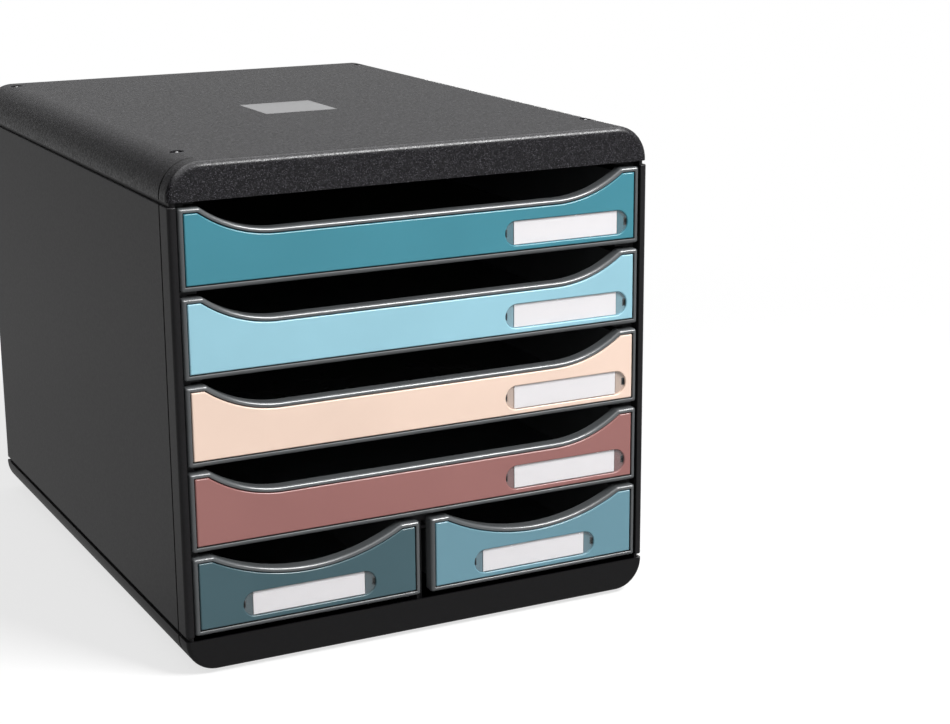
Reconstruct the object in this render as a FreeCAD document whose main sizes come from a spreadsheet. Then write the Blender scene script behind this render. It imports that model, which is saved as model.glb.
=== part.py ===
import FreeCAD, Part
import math
import os
import Sketcher
from types import SimpleNamespace

# Desk drawer unit for A4 folders. Four full-width drawers stand over two half-width ones
# in a casing of moulded cover, base, side panels and back, with four pins holding the cover.
# X runs to the right, Y from the front to the back, Z up from the desk. Every piece is
# drawn with Y = 0 on the casing's front plane and then placed around the middle of the box.

SIZES = {
    # casing, millimetres
    "case_width": 270.0,
    "case_depth": 355.0,
    "foot_height": 2.3,
    "base_height": 17.1,
    "base_radius": 16.5,
    "cover_height": 19.3,
    "cover_radius": 18.5,
    "shell_wall": 2.6,
    "edge_radius": 3.0,
    "edge_bevel": 1.5,
    "seam_gap": 2.3,
    "seam_depth": 1.5,
    "tongue_wall": 1.5,
    "tongue_grip": 3.8,
    "tongue_corner": 2.0,
    "fit": 0.15,
    "panel_wall": 3.0,
    "panel_corner": 2.5,
    "post_width": 4.1,
    "post_depth": 11.0,
    "back_post_width": 5.5,
    "back_post_depth": 9.5,
    "back_wall": 2.5,
    "back_lip": 3.3,
    "groove_offset": 12.0,
    "groove_width": 1.0,
    "groove_depth": 0.8,
    # stiffening ribs under the cover and in the base
    "rib_wall": 1.6,
    "rib_height": 8.0,
    "rib_row_gap": 85.0,
    "rib_first": 92.0,
    "rib_count": 3,
    "rib_side": 66.0,
    "rib_middle": 6.0,
    # pins that hold the cover, their bosses and the tabs under them
    "pin_side": 18.0,
    "pin_front": 35.6,
    "pin_back": 15.0,
    "pin_diameter": 6.8,
    "pin_sink": 1.2,
    "pin_end": 0.4,
    "tab_width": 12.0,
    # rubber feet and the plain badge
    "foot_length": 24.0,
    "foot_width": 12.0,
    "foot_sink": 0.8,
    "foot_inset": 36.0,
    "foot_end": 12.0,
    "badge_width": 43.0,
    "badge_length": 43.0,
    "badge_front": 141.3,
    "badge_left": 27.9,
    "badge_thickness": 0.5,
    # drawer rows
    "row_count": 5,
    "drawer_pitch": 44.8,
    "row_gap": 3.2,
    "sill_gap": 2.5,
    "lintel_gap": 3.0,
    "front_gap": 1.0,
    "middle_gap": 3.15,
    # drawer fronts
    "front_depth": 7.0,
    "front_corner": 1.5,
    "shoulder": 11.0,
    "scoop_depth": 13.5,
    "scoop_run": 40.0,
    "rim": 2.4,
    "plate_pocket": 2.6,
    "plate_wall": 2.4,
    "plate_edge": 0.5,
    "lip_depth": 2.2,
    # drawer trays
    "tray_length": 345.0,
    "tray_inset": 5.9,
    "tray_wall": 2.0,
    "tray_floor": 1.8,
    "tray_lift": 2.0,
    "tray_height": 38.0,
    "tray_corner": 8.0,
    "tray_bottom_edge": 1.5,
    "flange_wall": 2.0,
    "flange_inset": 1.3,
    "flange_end": 9.0,
    # runners and stops
    "rail_wall": 1.8,
    "rail_play": 0.3,
    "rail_side_play": 0.7,
    "upper_rail_drop": 0.6,
    "upper_rail_cover": 4.5,
    "stop_length": 6.0,
    "stop_play": 0.6,
    "lug_height": 3.4,
    "travel": 240.0,
    # shelf and divider over and between the half-width drawers
    "shelf_wall": 1.5,
    "shelf_setback": 25.0,
    "divider_wall": 3.0,
    "divider_setback": 9.0,
    "peg_width": 2.4,
    "peg_length": 8.0,
    "peg_end": 25.0,
    "slot_rib_height": 9.0,
    # label windows
    "window_length": 74.5,
    "window_height": 13.2,
    "window_side": 6.8,
    "window_rise": 12.2,
    "window_pocket": 1.6,
    "window_wall": 0.9,
    "window_sink": 0.15,
    "window_fit": 0.1,
    "notch_height": 4.2,
    "notch_depth": 1.8,
    "small_notch_depth": 0.7,
    "slot_height": 4.2,
    "slot_reach": 0.6,
    "label_length": 62.6,
    "label_height": 12.4,
    "label_wall": 0.3,
    "label_end": 5.8,
}


class Size:
    """A length in millimetres together with the sheet formula that gives it."""

    def __init__(self, number, formula):
        self.number = number
        self.formula = formula

    def __add__(self, other):
        return Size(self.number + number_of(other), f"({self.formula} + {formula_of(other)})")

    def __sub__(self, other):
        return Size(self.number - number_of(other), f"({self.formula} - {formula_of(other)})")

    def __mul__(self, other):
        return Size(self.number * number_of(other), f"({self.formula} * {formula_of(other)})")

    def __truediv__(self, other):
        return Size(self.number / number_of(other), f"({self.formula} / {formula_of(other)})")

    def __radd__(self, other):
        return self + other

    def __rmul__(self, other):
        return self * other

    def __neg__(self):
        return self * -1

    def root(self):
        return Size(math.sqrt(self.number), f"sqrt({self.formula})")


def number_of(value):
    return value.number if isinstance(value, Size) else float(value)


def formula_of(value):
    return value.formula if isinstance(value, Size) else repr(value)


doc = FreeCAD.newDocument("drawer_unit")
sheet = doc.addObject("Spreadsheet::Sheet", "sizes")
for line, (name, value) in enumerate(SIZES.items(), start=1):
    sheet.set(f"A{line}", name)
    sheet.set(f"B{line}", str(value))
    sheet.setAlias(f"B{line}", name)
doc.recompute()
size = SimpleNamespace(**{name: Size(value, f"sizes.{name}") for name, value in SIZES.items()})

# Heights and faces that several pieces share.
half_width = size.case_width / 2
base_bottom = size.foot_height
base_top = base_bottom + size.base_height
first_row = base_top + size.sill_gap
front_height = size.drawer_pitch - size.row_gap
rows_top = first_row + size.row_count * size.drawer_pitch - size.row_gap
cover_bottom = rows_top + size.lintel_gap
cover_top = cover_bottom + size.cover_height
panel_bottom = base_top + size.seam_gap
panel_top = cover_bottom - size.seam_gap
tongue_reach = size.seam_gap + size.tongue_grip
inner_half = half_width - size.panel_wall
opening_half = half_width - size.post_width - size.front_gap
back_post_front = size.case_depth - size.back_post_depth
pin_x = half_width - size.pin_side
pin_rows = (size.pin_front, size.case_depth - size.pin_back)
tab_bottom = rows_top + size.upper_rail_drop

# Runner levels above the bottom edge of a drawer front.
flange_top = size.tray_height
flange_bottom = flange_top - size.flange_wall
lower_rail_top = flange_bottom - size.rail_play
lower_rail_bottom = lower_rail_top - size.rail_wall
upper_rail_bottom = front_height + size.upper_rail_drop
upper_rail_top = upper_rail_bottom + size.rail_wall
stop_bottom = flange_top + size.stop_play
rail_front = size.front_depth + size.rail_play
stop_back = rail_front + size.stop_length
lower_rail_side = opening_half - size.tray_inset + size.rail_side_play
upper_rail_side = opening_half - size.tray_inset - size.upper_rail_cover

PLANE_SIGNS = {"XY_Plane": 1, "XZ_Plane": -1, "YZ_Plane": 1}


# ---------------------------------------------------------------- modelling helpers

def bind(thing, path, length):
    """Tie one property to the sheet."""
    thing.setExpression(path, formula_of(length))


def place(thing, x=0, z=0):
    """Move a finished piece so that the casing's middle comes to Y = 0."""
    bind(thing, "Placement.Base.x", x)
    bind(thing, "Placement.Base.y", -size.case_depth / 2)
    bind(thing, "Placement.Base.z", z)


def new_body(label):
    body = doc.addObject("PartDesign::Body", label)
    body.Label = label
    return body


def new_sketch(body, plane, level=None):
    """Add a sketch parallel to an origin plane, at a level along that plane's axis."""
    sketch = body.newObject("Sketcher::SketchObject", "sketch")
    support = next(item for item in body.Origin.OriginFeatures if item.Role == plane)
    sketch.AttachmentSupport = [(support, "")]
    sketch.MapMode = "FlatFace"
    if level is not None:
        bind(sketch, "AttachmentOffset.Base.z", level * PLANE_SIGNS[plane])
    return sketch


def fix_point(sketch, edge, end, x, y):
    """Hold one end of a sketch edge at x, y, on an axis where the value is a plain zero."""
    for kind, axis, value in (("DistanceX", -2, x), ("DistanceY", -1, y)):
        if isinstance(value, Size):
            index = sketch.addConstraint(
                Sketcher.Constraint(kind, -1, 1, edge, end, value.number))
            sketch.setExpression(f"Constraints[{index}]", value.formula)
        else:
            sketch.addConstraint(Sketcher.Constraint("PointOnObject", edge, end, axis))


def arc_between(start, end, radius, turn):
    """Arc of the given radius from start to end, turn 1 anticlockwise and -1 clockwise."""
    chord = end - start
    height = math.sqrt(max(radius ** 2 - (chord.Length / 2) ** 2, 0.0))
    left = FreeCAD.Vector(-chord.y, chord.x, 0).normalize()
    centre = (start + end) / 2 + left * height * turn
    first, last = (start, end) if turn > 0 else (end, start)
    angles = [math.atan2(point.y - centre.y, point.x - centre.x) for point in (first, last)]
    if angles[1] < angles[0]:
        angles[1] += 2 * math.pi
    circle = Part.Circle(centre, FreeCAD.Vector(0, 0, 1), radius)
    return Part.ArcOfCircle(circle, *angles)


def draw(sketch, corners):
    """Draw a closed outline. A corner is (x, y), or (x, y, radius, turn) where an arc leaves it."""
    points = [FreeCAD.Vector(number_of(item[0]), number_of(item[1]), 0) for item in corners]
    edges = []
    for index, item in enumerate(corners):
        start = points[index]
        end = points[(index + 1) % len(points)]
        if len(item) == 2:
            edges.append((sketch.addGeometry(Part.LineSegment(start, end)), 1, 2))
            continue
        radius, turn = item[2], item[3]
        edge = sketch.addGeometry(arc_between(start, end, radius.number, turn))
        if near((end - start).Length, 2 * radius):
            # A half circle between two corners at one x keeps its centre at that x.
            kind, ends, held = "DistanceX", (-1, 1, edge, 3), item[0]
        else:
            kind, ends, held = "Radius", (edge,), radius
        constraint = sketch.addConstraint(Sketcher.Constraint(kind, *ends, held.number))
        sketch.setExpression(f"Constraints[{constraint}]", held.formula)
        edges.append((edge, 1, 2) if turn > 0 else (edge, 2, 1))
    for index, (edge, start, end) in enumerate(edges):
        following = edges[(index + 1) % len(edges)]
        sketch.addConstraint(Sketcher.Constraint("Coincident", edge, end, following[0], following[1]))
        fix_point(sketch, edge, start, corners[index][0], corners[index][1])


def draw_box(sketch, left, right, low, high):
    draw(sketch, [(left, low), (right, low), (right, high), (left, high)])


def draw_circle(sketch, x, y, diameter):
    circle = Part.Circle(FreeCAD.Vector(x.number, y.number, 0), FreeCAD.Vector(0, 0, 1),
                         diameter.number / 2)
    edge = sketch.addGeometry(circle)
    fix_point(sketch, edge, 3, x, y)
    constraint = sketch.addConstraint(Sketcher.Constraint("Diameter", edge, diameter.number))
    sketch.setExpression(f"Constraints[{constraint}]", diameter.formula)


def draw_stadium(sketch, left, right, middle, height):
    """Draw a slot with half-round ends between left and right, around the middle height."""
    radius = height / 2
    draw(sketch, [
        (left + radius, middle - radius),
        (right - radius, middle - radius, radius, 1),
        (right - radius, middle + radius),
        (left + radius, middle + radius, radius, 1),
    ])


def extrude(body, kind, sketch, length, along):
    """Pad or pocket a sketch along the positive (1) or negative (-1) axis of its plane."""
    feature = body.newObject(f"PartDesign::{kind}", kind.lower())
    feature.Profile = sketch
    bind(feature, "Length", length)
    plane = sketch.AttachmentSupport[0][0].Role
    default = PLANE_SIGNS[plane] if kind == "Pad" else -PLANE_SIGNS[plane]
    feature.Reversed = default != along
    sketch.Visibility = False
    return feature


def repeat(body, features, axis, length, count):
    """Repeat features along one of the body's axes over a total length."""
    pattern = body.newObject("PartDesign::LinearPattern", "pattern")
    pattern.Originals = features
    line = next(item for item in body.Origin.OriginFeatures if item.Role == axis)
    pattern.Direction = (line, [""])
    bind(pattern, "Length", length)
    bind(pattern, "Occurrences", count)
    body.Tip = pattern
    return pattern


def dress_edges(body, kind, length, wanted):
    """Fillet or chamfer the edges of the body so far whose bounding box passes the test."""
    doc.recompute()
    base = body.Tip
    names = [f"Edge{index}" for index, edge in enumerate(base.Shape.Edges, start=1)
             if wanted(edge.BoundBox)]
    feature = body.newObject(f"PartDesign::{kind}", kind.lower())
    feature.Base = (base, names)
    bind(feature, "Radius" if kind == "Fillet" else "Size", length)


def near(value, length):
    return abs(value - number_of(length)) < 1e-4


def flat_at(low, high, length):
    """True where a span lies wholly at one coordinate."""
    return near(low, length) and near(high, length)


# ---------------------------------------------------------------- casing shells

def shell(label, seam, up, height, radius, front_edge):
    """Cover or base: a shallow moulded shell with rounded long edges, open at its seam."""
    body = new_body(label)
    crown = seam + up * height

    def profile(inset):
        side = half_width - inset
        bend = radius - inset
        top = crown - up * inset
        return [
            (-side, seam),
            (side, seam),
            (side, top - up * bend, bend, up),
            (side - bend, top),
            (bend - side, top, bend, up),
            (-side, top - up * bend),
        ]

    outer = new_sketch(body, "XZ_Plane")
    draw(outer, profile(0))
    extrude(body, "Pad", outer, size.case_depth, 1)
    dress_edges(body, *front_edge, lambda box: (
        flat_at(box.YMin, box.YMax, 0) and not flat_at(box.ZMin, box.ZMax, seam)))
    dress_edges(body, "Chamfer", size.edge_bevel, lambda box: (
        flat_at(box.YMin, box.YMax, size.case_depth) and not flat_at(box.ZMin, box.ZMax, seam)))

    hollow = new_sketch(body, "XZ_Plane", size.shell_wall)
    draw(hollow, profile(size.shell_wall))
    extrude(body, "Pocket", hollow, size.case_depth - 2 * size.shell_wall, 1)

    # Step in the rim that takes the tongues of the side panels.
    inset = size.seam_depth - size.fit
    cut = size.tongue_corner
    left, right = inset - half_width, half_width - inset
    front, back = inset, size.case_depth - inset
    step = new_sketch(body, "XY_Plane", seam)
    draw(step, [
        (left + cut, front),
        (right - cut, front),
        (right, front + cut),
        (right, back - cut),
        (right - cut, back),
        (left + cut, back),
        (left, back - cut),
        (left, front + cut),
    ])
    extrude(body, "Pocket", step, size.tongue_grip + 2 * size.fit, up)

    # Ribs: cross ribs in two halves, and one lengthwise rib on each side.
    ceiling = crown - up * size.shell_wall
    cross = new_sketch(body, "XY_Plane", ceiling)
    for side in (-1, 1):
        ends = sorted((side * size.rib_middle, side * (half_width - radius)), key=number_of)
        draw_box(cross, *ends, size.rib_first, size.rib_first + size.rib_wall)
    ribs = extrude(body, "Pad", cross, size.rib_height, -up)
    repeat(body, [ribs], "Y_Axis", size.rib_row_gap * (size.rib_count - 1), size.rib_count)
    lengthwise = new_sketch(body, "XY_Plane", ceiling)
    for side in (-1, 1):
        middle = side * size.rib_side
        draw_box(lengthwise, middle - size.rib_wall / 2, middle + size.rib_wall / 2,
                 size.shell_wall, size.case_depth - size.shell_wall)
    extrude(body, "Pad", lengthwise, size.rib_height, -up)

    # Fine line across each rounded edge: full depth on the side, fading out at the top.
    reach = radius - size.groove_depth
    bend = (reach * reach + radius * radius) / (2 * radius)
    line = new_sketch(body, "XZ_Plane", size.groove_offset)
    for side in (-1, 1):
        outside = side * (half_width + size.groove_depth)
        draw(line, [
            (side * (half_width - size.groove_depth), seam),
            (outside, seam),
            (outside, crown + up * size.groove_depth),
            (side * (half_width - radius), crown + up * size.groove_depth),
            (side * (half_width - radius), crown, bend, -side * up),
            (side * (half_width - size.groove_depth), crown - up * radius),
        ])
    extrude(body, "Pocket", line, size.groove_width, 1)
    return body


def top_cover():
    """Cover shell with the bosses and holes of its four pins and the seat of the badge."""
    body = shell("top_cover", cover_bottom, 1, size.cover_height, size.cover_radius,
                 ("Fillet", size.edge_radius))
    bosses = new_sketch(body, "XY_Plane", cover_bottom + size.fit)
    holes = new_sketch(body, "XY_Plane", cover_bottom)
    half = size.tab_width / 2
    for x in (-pin_x, pin_x):
        for y in pin_rows:
            draw_box(bosses, x - half, x + half, y - half, y + half)
            draw_circle(holes, x, y, size.pin_diameter + 2 * size.fit)
    extrude(body, "Pad", bosses, size.cover_height - size.shell_wall, 1)
    extrude(body, "Pocket", holes, size.cover_height, 1)
    seat = new_sketch(body, "XY_Plane", cover_top)
    draw_box(seat, -size.badge_left - size.fit, size.badge_width - size.badge_left + size.fit,
             size.badge_front - size.fit, size.badge_front + size.badge_length + size.fit)
    extrude(body, "Pocket", seat, size.badge_thickness, -1)
    place(body)


def foot_corners():
    """Left front corner of each rubber foot."""
    for x in (size.foot_inset - half_width, half_width - size.foot_inset - size.foot_width):
        for y in (size.foot_end, size.case_depth - size.foot_end - size.foot_length):
            yield x, y


def base():
    """Base shell with the foot seats below and the slot of the divider inside."""
    body = shell("base", base_top, -1, size.base_height, size.base_radius,
                 ("Chamfer", size.edge_bevel))
    seats = new_sketch(body, "XY_Plane", base_bottom)
    for x, y in foot_corners():
        draw_box(seats, x - size.fit, x + size.foot_width + size.fit,
                 y - size.fit, y + size.foot_length + size.fit)
    extrude(body, "Pocket", seats, size.foot_sink, 1)
    slot = new_sketch(body, "XY_Plane", base_bottom + size.shell_wall)
    for side in (-1, 1):
        inner = side * (size.divider_wall / 2 + size.fit)
        ends = sorted((inner, inner + side * size.rib_wall), key=number_of)
        draw_box(slot, *ends, size.divider_setback, back_post_front)
    extrude(body, "Pad", slot, size.slot_rib_height, 1)
    place(body)


# ---------------------------------------------------------------- side panels and back

def side_panel(label, side):
    """Side panel with front and back posts, tongues, drawer runners and tabs for the pins."""
    body = new_body(label)
    face = side * half_width
    inward = -side

    def slab(front, back, low, high, depth, kind="Pad", level=face):
        sketch = new_sketch(body, "YZ_Plane", level)
        draw_box(sketch, front, back, low, high)
        return extrude(body, kind, sketch, depth, inward)

    slab(0, size.case_depth, panel_bottom, panel_top, size.panel_wall)
    slab(0, size.post_depth, panel_bottom, panel_top, size.post_width)
    slab(back_post_front, size.case_depth, panel_bottom, panel_top, size.back_post_width)
    dress_edges(body, "Fillet", size.panel_corner, lambda box: (
        flat_at(box.XMin, box.XMax, face) and box.ZLength > size.panel_wall.number
        and (flat_at(box.YMin, box.YMax, 0) or flat_at(box.YMin, box.YMax, size.case_depth))))

    # Tongues that stand up into the cover and down into the base.
    outer = side * (half_width - size.seam_depth)
    inner = outer - side * size.tongue_wall
    post = side * (half_width - size.post_width)
    front = size.seam_depth
    cut = size.tongue_corner
    tongue = new_sketch(body, "XY_Plane", panel_bottom - tongue_reach)
    draw(tongue, [
        (post, front),
        (outer - side * cut, front),
        (outer, front + cut),
        (outer, size.case_depth - front - cut),
        (outer - side * cut, size.case_depth - front),
        (inner - side * cut, size.case_depth - front),
        (inner - side * cut, size.case_depth - front - size.tongue_wall),
        (inner, size.case_depth - front - size.tongue_wall),
        (inner, front + size.tongue_wall),
        (post, front + size.tongue_wall),
    ])
    extrude(body, "Pad", tongue, panel_top - panel_bottom + 2 * tongue_reach, 1)

    # One pair of runners per row, with the stop block hanging from the upper one.
    row = first_row
    root = half_width - size.seam_depth
    lower = new_sketch(body, "YZ_Plane", outer)
    draw_box(lower, rail_front, back_post_front, row + lower_rail_bottom, row + lower_rail_top)
    draw_box(lower, rail_front, stop_back, row + stop_bottom, row + upper_rail_bottom)
    lower_rails = extrude(body, "Pad", lower, root - lower_rail_side, inward)
    upper_rails = slab(rail_front, back_post_front, row + upper_rail_bottom, row + upper_rail_top,
                       root - upper_rail_side, level=outer)
    repeat(body, [lower_rails, upper_rails], "Z_Axis",
           size.drawer_pitch * (size.row_count - 1), size.row_count)

    # Tabs under the cover with the square sockets of its pins.
    half = size.tab_width / 2
    play = size.pin_diameter / 2 + size.fit
    tabs = new_sketch(body, "XY_Plane", tab_bottom)
    holes = new_sketch(body, "XY_Plane", tab_bottom)
    for y in pin_rows:
        ends = sorted((outer, side * (pin_x - half)), key=number_of)
        draw_box(tabs, *ends, y - half, y + half)
        middle = side * pin_x
        draw_box(holes, middle - play, middle + play, y - play, y + play)
    extrude(body, "Pad", tabs, cover_bottom - tab_bottom, 1)
    extrude(body, "Pocket", holes, cover_bottom - tab_bottom, 1)

    # Slot of the back panel and the fine line down the outside.
    slot_front = size.case_depth - size.back_lip - size.back_wall - 2 * size.fit
    slot = new_sketch(body, "YZ_Plane", side * inner_half)
    draw_box(slot, slot_front, size.case_depth - size.back_lip, panel_bottom, panel_top)
    extrude(body, "Pocket", slot, size.back_post_width - size.panel_wall, inward)
    slab(size.groove_offset, size.groove_offset + size.groove_width, panel_bottom, panel_top,
         size.groove_depth, "Pocket")
    place(body)


def back_panel():
    """Back panel standing in the slots of the side panels, between the ribs of base and cover."""
    body = new_body("back_panel")
    reach = inner_half - size.fit
    low = base_bottom + size.shell_wall + size.rib_height
    low_reach = half_width - size.base_radius
    high = cover_top - size.shell_wall - size.rib_height - size.fit
    high_reach = half_width - size.cover_radius
    back = size.case_depth - size.back_lip - size.fit
    sketch = new_sketch(body, "XZ_Plane", back - size.back_wall)
    draw(sketch, [
        (-low_reach, low),
        (low_reach, low),
        (reach, panel_bottom),
        (reach, panel_top),
        (high_reach, high),
        (-high_reach, high),
        (-reach, panel_top),
        (-reach, panel_bottom),
    ])
    extrude(body, "Pad", sketch, size.back_wall, 1)
    place(body)


# ---------------------------------------------------------------- shelf and divider

shelf_bottom = first_row + upper_rail_top


def draw_pegs(sketch, play):
    """Draw the two pegs that locate the shelf on the divider, grown by the play all round."""
    reach = size.peg_width / 2 + play
    last = back_post_front - size.peg_end - size.peg_length
    for front in (size.shelf_setback + size.peg_end, last):
        draw_box(sketch, -reach, reach, front - play, front + size.peg_length + play)


def shelf():
    """Shelf over the half-width drawers, resting on the runners and on the divider."""
    body = new_body("shelf")
    reach = inner_half - 2 * size.fit
    sketch = new_sketch(body, "XY_Plane", shelf_bottom)
    draw_box(sketch, -reach, reach, size.shelf_setback, back_post_front - size.fit)
    draw_pegs(sketch, size.fit)
    extrude(body, "Pad", sketch, size.shelf_wall, 1)
    place(body)


def divider():
    """Upright between the half-width drawers, with runners on both faces and pegs on top."""
    body = new_body("divider")
    half = size.divider_wall / 2
    front = size.divider_setback
    back = back_post_front - size.fit
    foot = base_bottom + size.shell_wall + size.fit
    lower_half = size.middle_gap + size.tray_inset - size.rail_side_play
    upper_half = size.middle_gap + size.tray_inset + size.upper_rail_cover

    def slab(reach, y_front, y_back, low, high):
        sketch = new_sketch(body, "XY_Plane", low)
        draw_box(sketch, -reach, reach, y_front, y_back)
        extrude(body, "Pad", sketch, high - low, 1)

    slab(half, front, back, foot, first_row + upper_rail_bottom)
    slab(lower_half, front, back, first_row + lower_rail_bottom, first_row + lower_rail_top)
    slab(lower_half, front, stop_back, first_row + stop_bottom, first_row + upper_rail_bottom)
    slab(upper_half, front, back, first_row + upper_rail_bottom, shelf_bottom)
    pegs = new_sketch(body, "XY_Plane", shelf_bottom)
    draw_pegs(pegs, 0)
    extrude(body, "Pad", pegs, size.shelf_wall, 1)
    place(body)


# ---------------------------------------------------------------- pins, feet and badge

def primitive(kind, name, placing, **lengths):
    """Part primitive whose lengths and position are tied to the sheet."""
    thing = doc.addObject(f"Part::{kind}", name)
    for length_name, length in lengths.items():
        bind(thing, length_name, length)
    for axis, length in zip("xyz", placing):
        bind(thing, f"Placement.Base.{axis}", length)
    return thing


def group(label, members):
    """One node holding several separate solids."""
    compound = doc.addObject("Part::Compound", label)
    compound.Label = label
    compound.Links = members
    place(compound)


def cover_pins():
    """Four moulded pins, sunk a little into the cover and reaching through the tabs below."""
    low = tab_bottom - size.pin_end
    pins = [primitive("Cylinder", "pin", (x, y, low), Radius=size.pin_diameter / 2,
                      Height=cover_top - size.pin_sink - low)
            for x in (-pin_x, pin_x) for y in pin_rows]
    group("cover_pins", pins)


def rubber_feet():
    feet = [primitive("Box", "foot", (x, y, 0), Length=size.foot_width, Width=size.foot_length,
                      Height=size.foot_height + size.foot_sink)
            for x, y in foot_corners()]
    group("rubber_feet", feet)


def badge():
    """Plain badge plate lying flush in its seat, a little left of the cover's middle."""
    primitive("Box", "badge_plate",
              (-size.badge_left, size.badge_front - size.case_depth / 2,
               cover_top - size.badge_thickness),
              Length=size.badge_width, Width=size.badge_length, Height=size.badge_thickness)


# ---------------------------------------------------------------- drawers

def front_profile(width, run, side_inset, low, top_inset):
    """Outline of a drawer front with its scooped top edge, inset from the full outline."""
    side = width / 2 - side_inset
    high = front_height - top_inset
    depth = size.scoop_depth
    radius = (run * run + depth * depth) / (2 * depth) + top_inset
    flat = width / 2 - size.shoulder - run
    kink = flat + (2 * radius * depth - depth * depth).root()
    corners = [(-side, low), (side, low), (side, high), (kink, high, radius, -1)]
    if not near(0, flat):
        corners += [(flat, high - depth), (-flat, high - depth, radius, -1)]
    return corners + [(-kink, high), (-side, high)]


def tray(label, width, run):
    """Moulded drawer: scooped front with its rim, open tray, running flanges and stop lugs."""
    body = new_body(label)
    back_face = size.front_depth
    outer = width / 2 - size.tray_inset

    front = new_sketch(body, "XZ_Plane")
    draw(front, front_profile(width, run, 0, 0, 0))
    extrude(body, "Pad", front, size.front_depth, 1)
    dress_edges(body, "Fillet", size.front_corner, lambda box: (
        near(box.YLength, size.front_depth)
        and (flat_at(box.ZMin, box.ZMax, 0) or flat_at(box.ZMin, box.ZMax, front_height))))

    def plan(sketch, side, back, corner):
        draw(sketch, [
            (-side, back_face),
            (side, back_face),
            (side, back - corner, corner, 1),
            (side - corner, back),
            (corner - side, back, corner, 1),
            (-side, back - corner),
        ])

    shape = new_sketch(body, "XY_Plane", size.tray_lift)
    plan(shape, outer, size.tray_length, size.tray_corner)
    extrude(body, "Pad", shape, size.tray_height - size.tray_lift, 1)
    dress_edges(body, "Chamfer", size.tray_bottom_edge, lambda box: (
        flat_at(box.ZMin, box.ZMax, size.tray_lift)
        and not flat_at(box.YMin, box.YMax, back_face)))
    inside = new_sketch(body, "XY_Plane", size.tray_height)
    plan(inside, outer - size.tray_wall, size.tray_length - size.tray_wall,
         size.tray_corner - size.tray_wall)
    extrude(body, "Pocket", inside, size.tray_height - size.tray_lift - size.tray_floor, -1)

    seat = new_sketch(body, "XZ_Plane")
    draw(seat, front_profile(width, run, size.rim, size.rim, size.rim))
    extrude(body, "Pocket", seat, size.plate_pocket, 1)
    lip = new_sketch(body, "XZ_Plane", back_face)
    draw(lip, front_profile(width, run, size.tray_inset + size.tray_wall,
                            size.tray_lift + size.tray_floor, size.rim))
    extrude(body, "Pocket", lip, size.lip_depth, -1)

    flanges = new_sketch(body, "XY_Plane", flange_bottom)
    lugs = new_sketch(body, "XY_Plane", flange_top)
    lug_front = stop_back + size.travel + size.rail_play
    for side in (-1, 1):
        edge = side * (width / 2 - size.flange_inset)
        root = side * (outer - size.tray_wall / 2)
        draw_box(flanges, *sorted((root, edge), key=number_of), back_face,
                 size.tray_length - size.flange_end)
        lug_root = side * (outer + size.rail_side_play + size.rail_play)
        draw_box(lugs, *sorted((lug_root, edge), key=number_of), lug_front,
                 lug_front + size.stop_length)
    extrude(body, "Pad", flanges, size.flange_wall, 1)
    extrude(body, "Pad", lugs, size.lug_height, 1)
    return body


def window_span(width, centred):
    """Left and right ends of the label window, seen from the drawer's middle."""
    right = size.window_length / 2 if centred else width / 2 - size.window_side
    return right - size.window_length, right


def plate(label, width, run, centred):
    """Coloured front plate with the pocket of the label window."""
    body = new_body(label)
    inset = size.rim + size.fit
    face = size.plate_pocket - size.plate_wall
    sketch = new_sketch(body, "XZ_Plane", face)
    draw(sketch, front_profile(width, run, inset, inset, inset))
    extrude(body, "Pad", sketch, size.plate_wall, 1)
    dress_edges(body, "Chamfer", size.plate_edge, lambda box: flat_at(box.YMin, box.YMax, face))
    left, right = window_span(width, centred)
    pocket = new_sketch(body, "XZ_Plane", face)
    draw_stadium(pocket, left, right, size.window_rise, size.window_height)
    extrude(body, "Pocket", pocket, size.window_pocket, 1)
    slots = new_sketch(body, "XZ_Plane", face + size.window_pocket)
    for end, side in ((left, -1), (right, 1)):
        edges = sorted((end + side * size.slot_reach, end - side * size.notch_depth), key=number_of)
        draw_box(slots, *edges, size.window_rise - size.slot_height / 2,
                 size.window_rise + size.slot_height / 2)
    extrude(body, "Pocket", slots, size.plate_wall - size.window_pocket, 1)
    return body


def window(label, width, centred):
    """Clear label window with a thumb notch at each end."""
    body = new_body(label)
    left, right = window_span(width, centred)
    face = size.plate_pocket - size.plate_wall + size.window_sink
    sketch = new_sketch(body, "XZ_Plane", face)
    draw_stadium(sketch, left + size.window_fit, right - size.window_fit, size.window_rise,
                 size.window_height - 2 * size.window_fit)
    extrude(body, "Pad", sketch, size.window_wall, 1)
    half = size.notch_height / 2
    notches = new_sketch(body, "XZ_Plane", face)
    for end, side, depth in ((left, -1, size.small_notch_depth), (right, 1, size.notch_depth)):
        bend = (half * half + depth * depth) / (2 * depth)
        outside = end + side * size.notch_depth
        draw(notches, [
            (end, size.window_rise - half, bend, -side),
            (end, size.window_rise + half),
            (outside, size.window_rise + half),
            (outside, size.window_rise - half),
        ])
    extrude(body, "Pocket", notches, size.window_wall, 1)
    return body


def label_card(label, width, centred):
    """Paper label lying on the floor of the window pocket."""
    body = new_body(label)
    left, _ = window_span(width, centred)
    start = left + size.label_end
    floor = size.plate_pocket - size.plate_wall + size.window_pocket
    sketch = new_sketch(body, "XZ_Plane", floor - size.label_wall)
    draw_box(sketch, start, start + size.label_length, size.window_rise - size.label_height / 2,
             size.window_rise + size.label_height / 2)
    extrude(body, "Pad", sketch, size.label_wall, 1)
    return body


def drawer(number, row, middle, width, run, centred):
    """One drawer with its plate, window and label, placed in its row counted from the base."""
    name = f"drawer_{number}"
    level = first_row + row * size.drawer_pitch
    pieces = (
        tray(f"{name}_tray", width, run),
        plate(f"{name}_plate", width, run, centred),
        window(f"{name}_window", width, centred),
        label_card(f"{name}_label", width, centred),
    )
    for piece in pieces:
        place(piece, x=middle, z=level)


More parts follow.
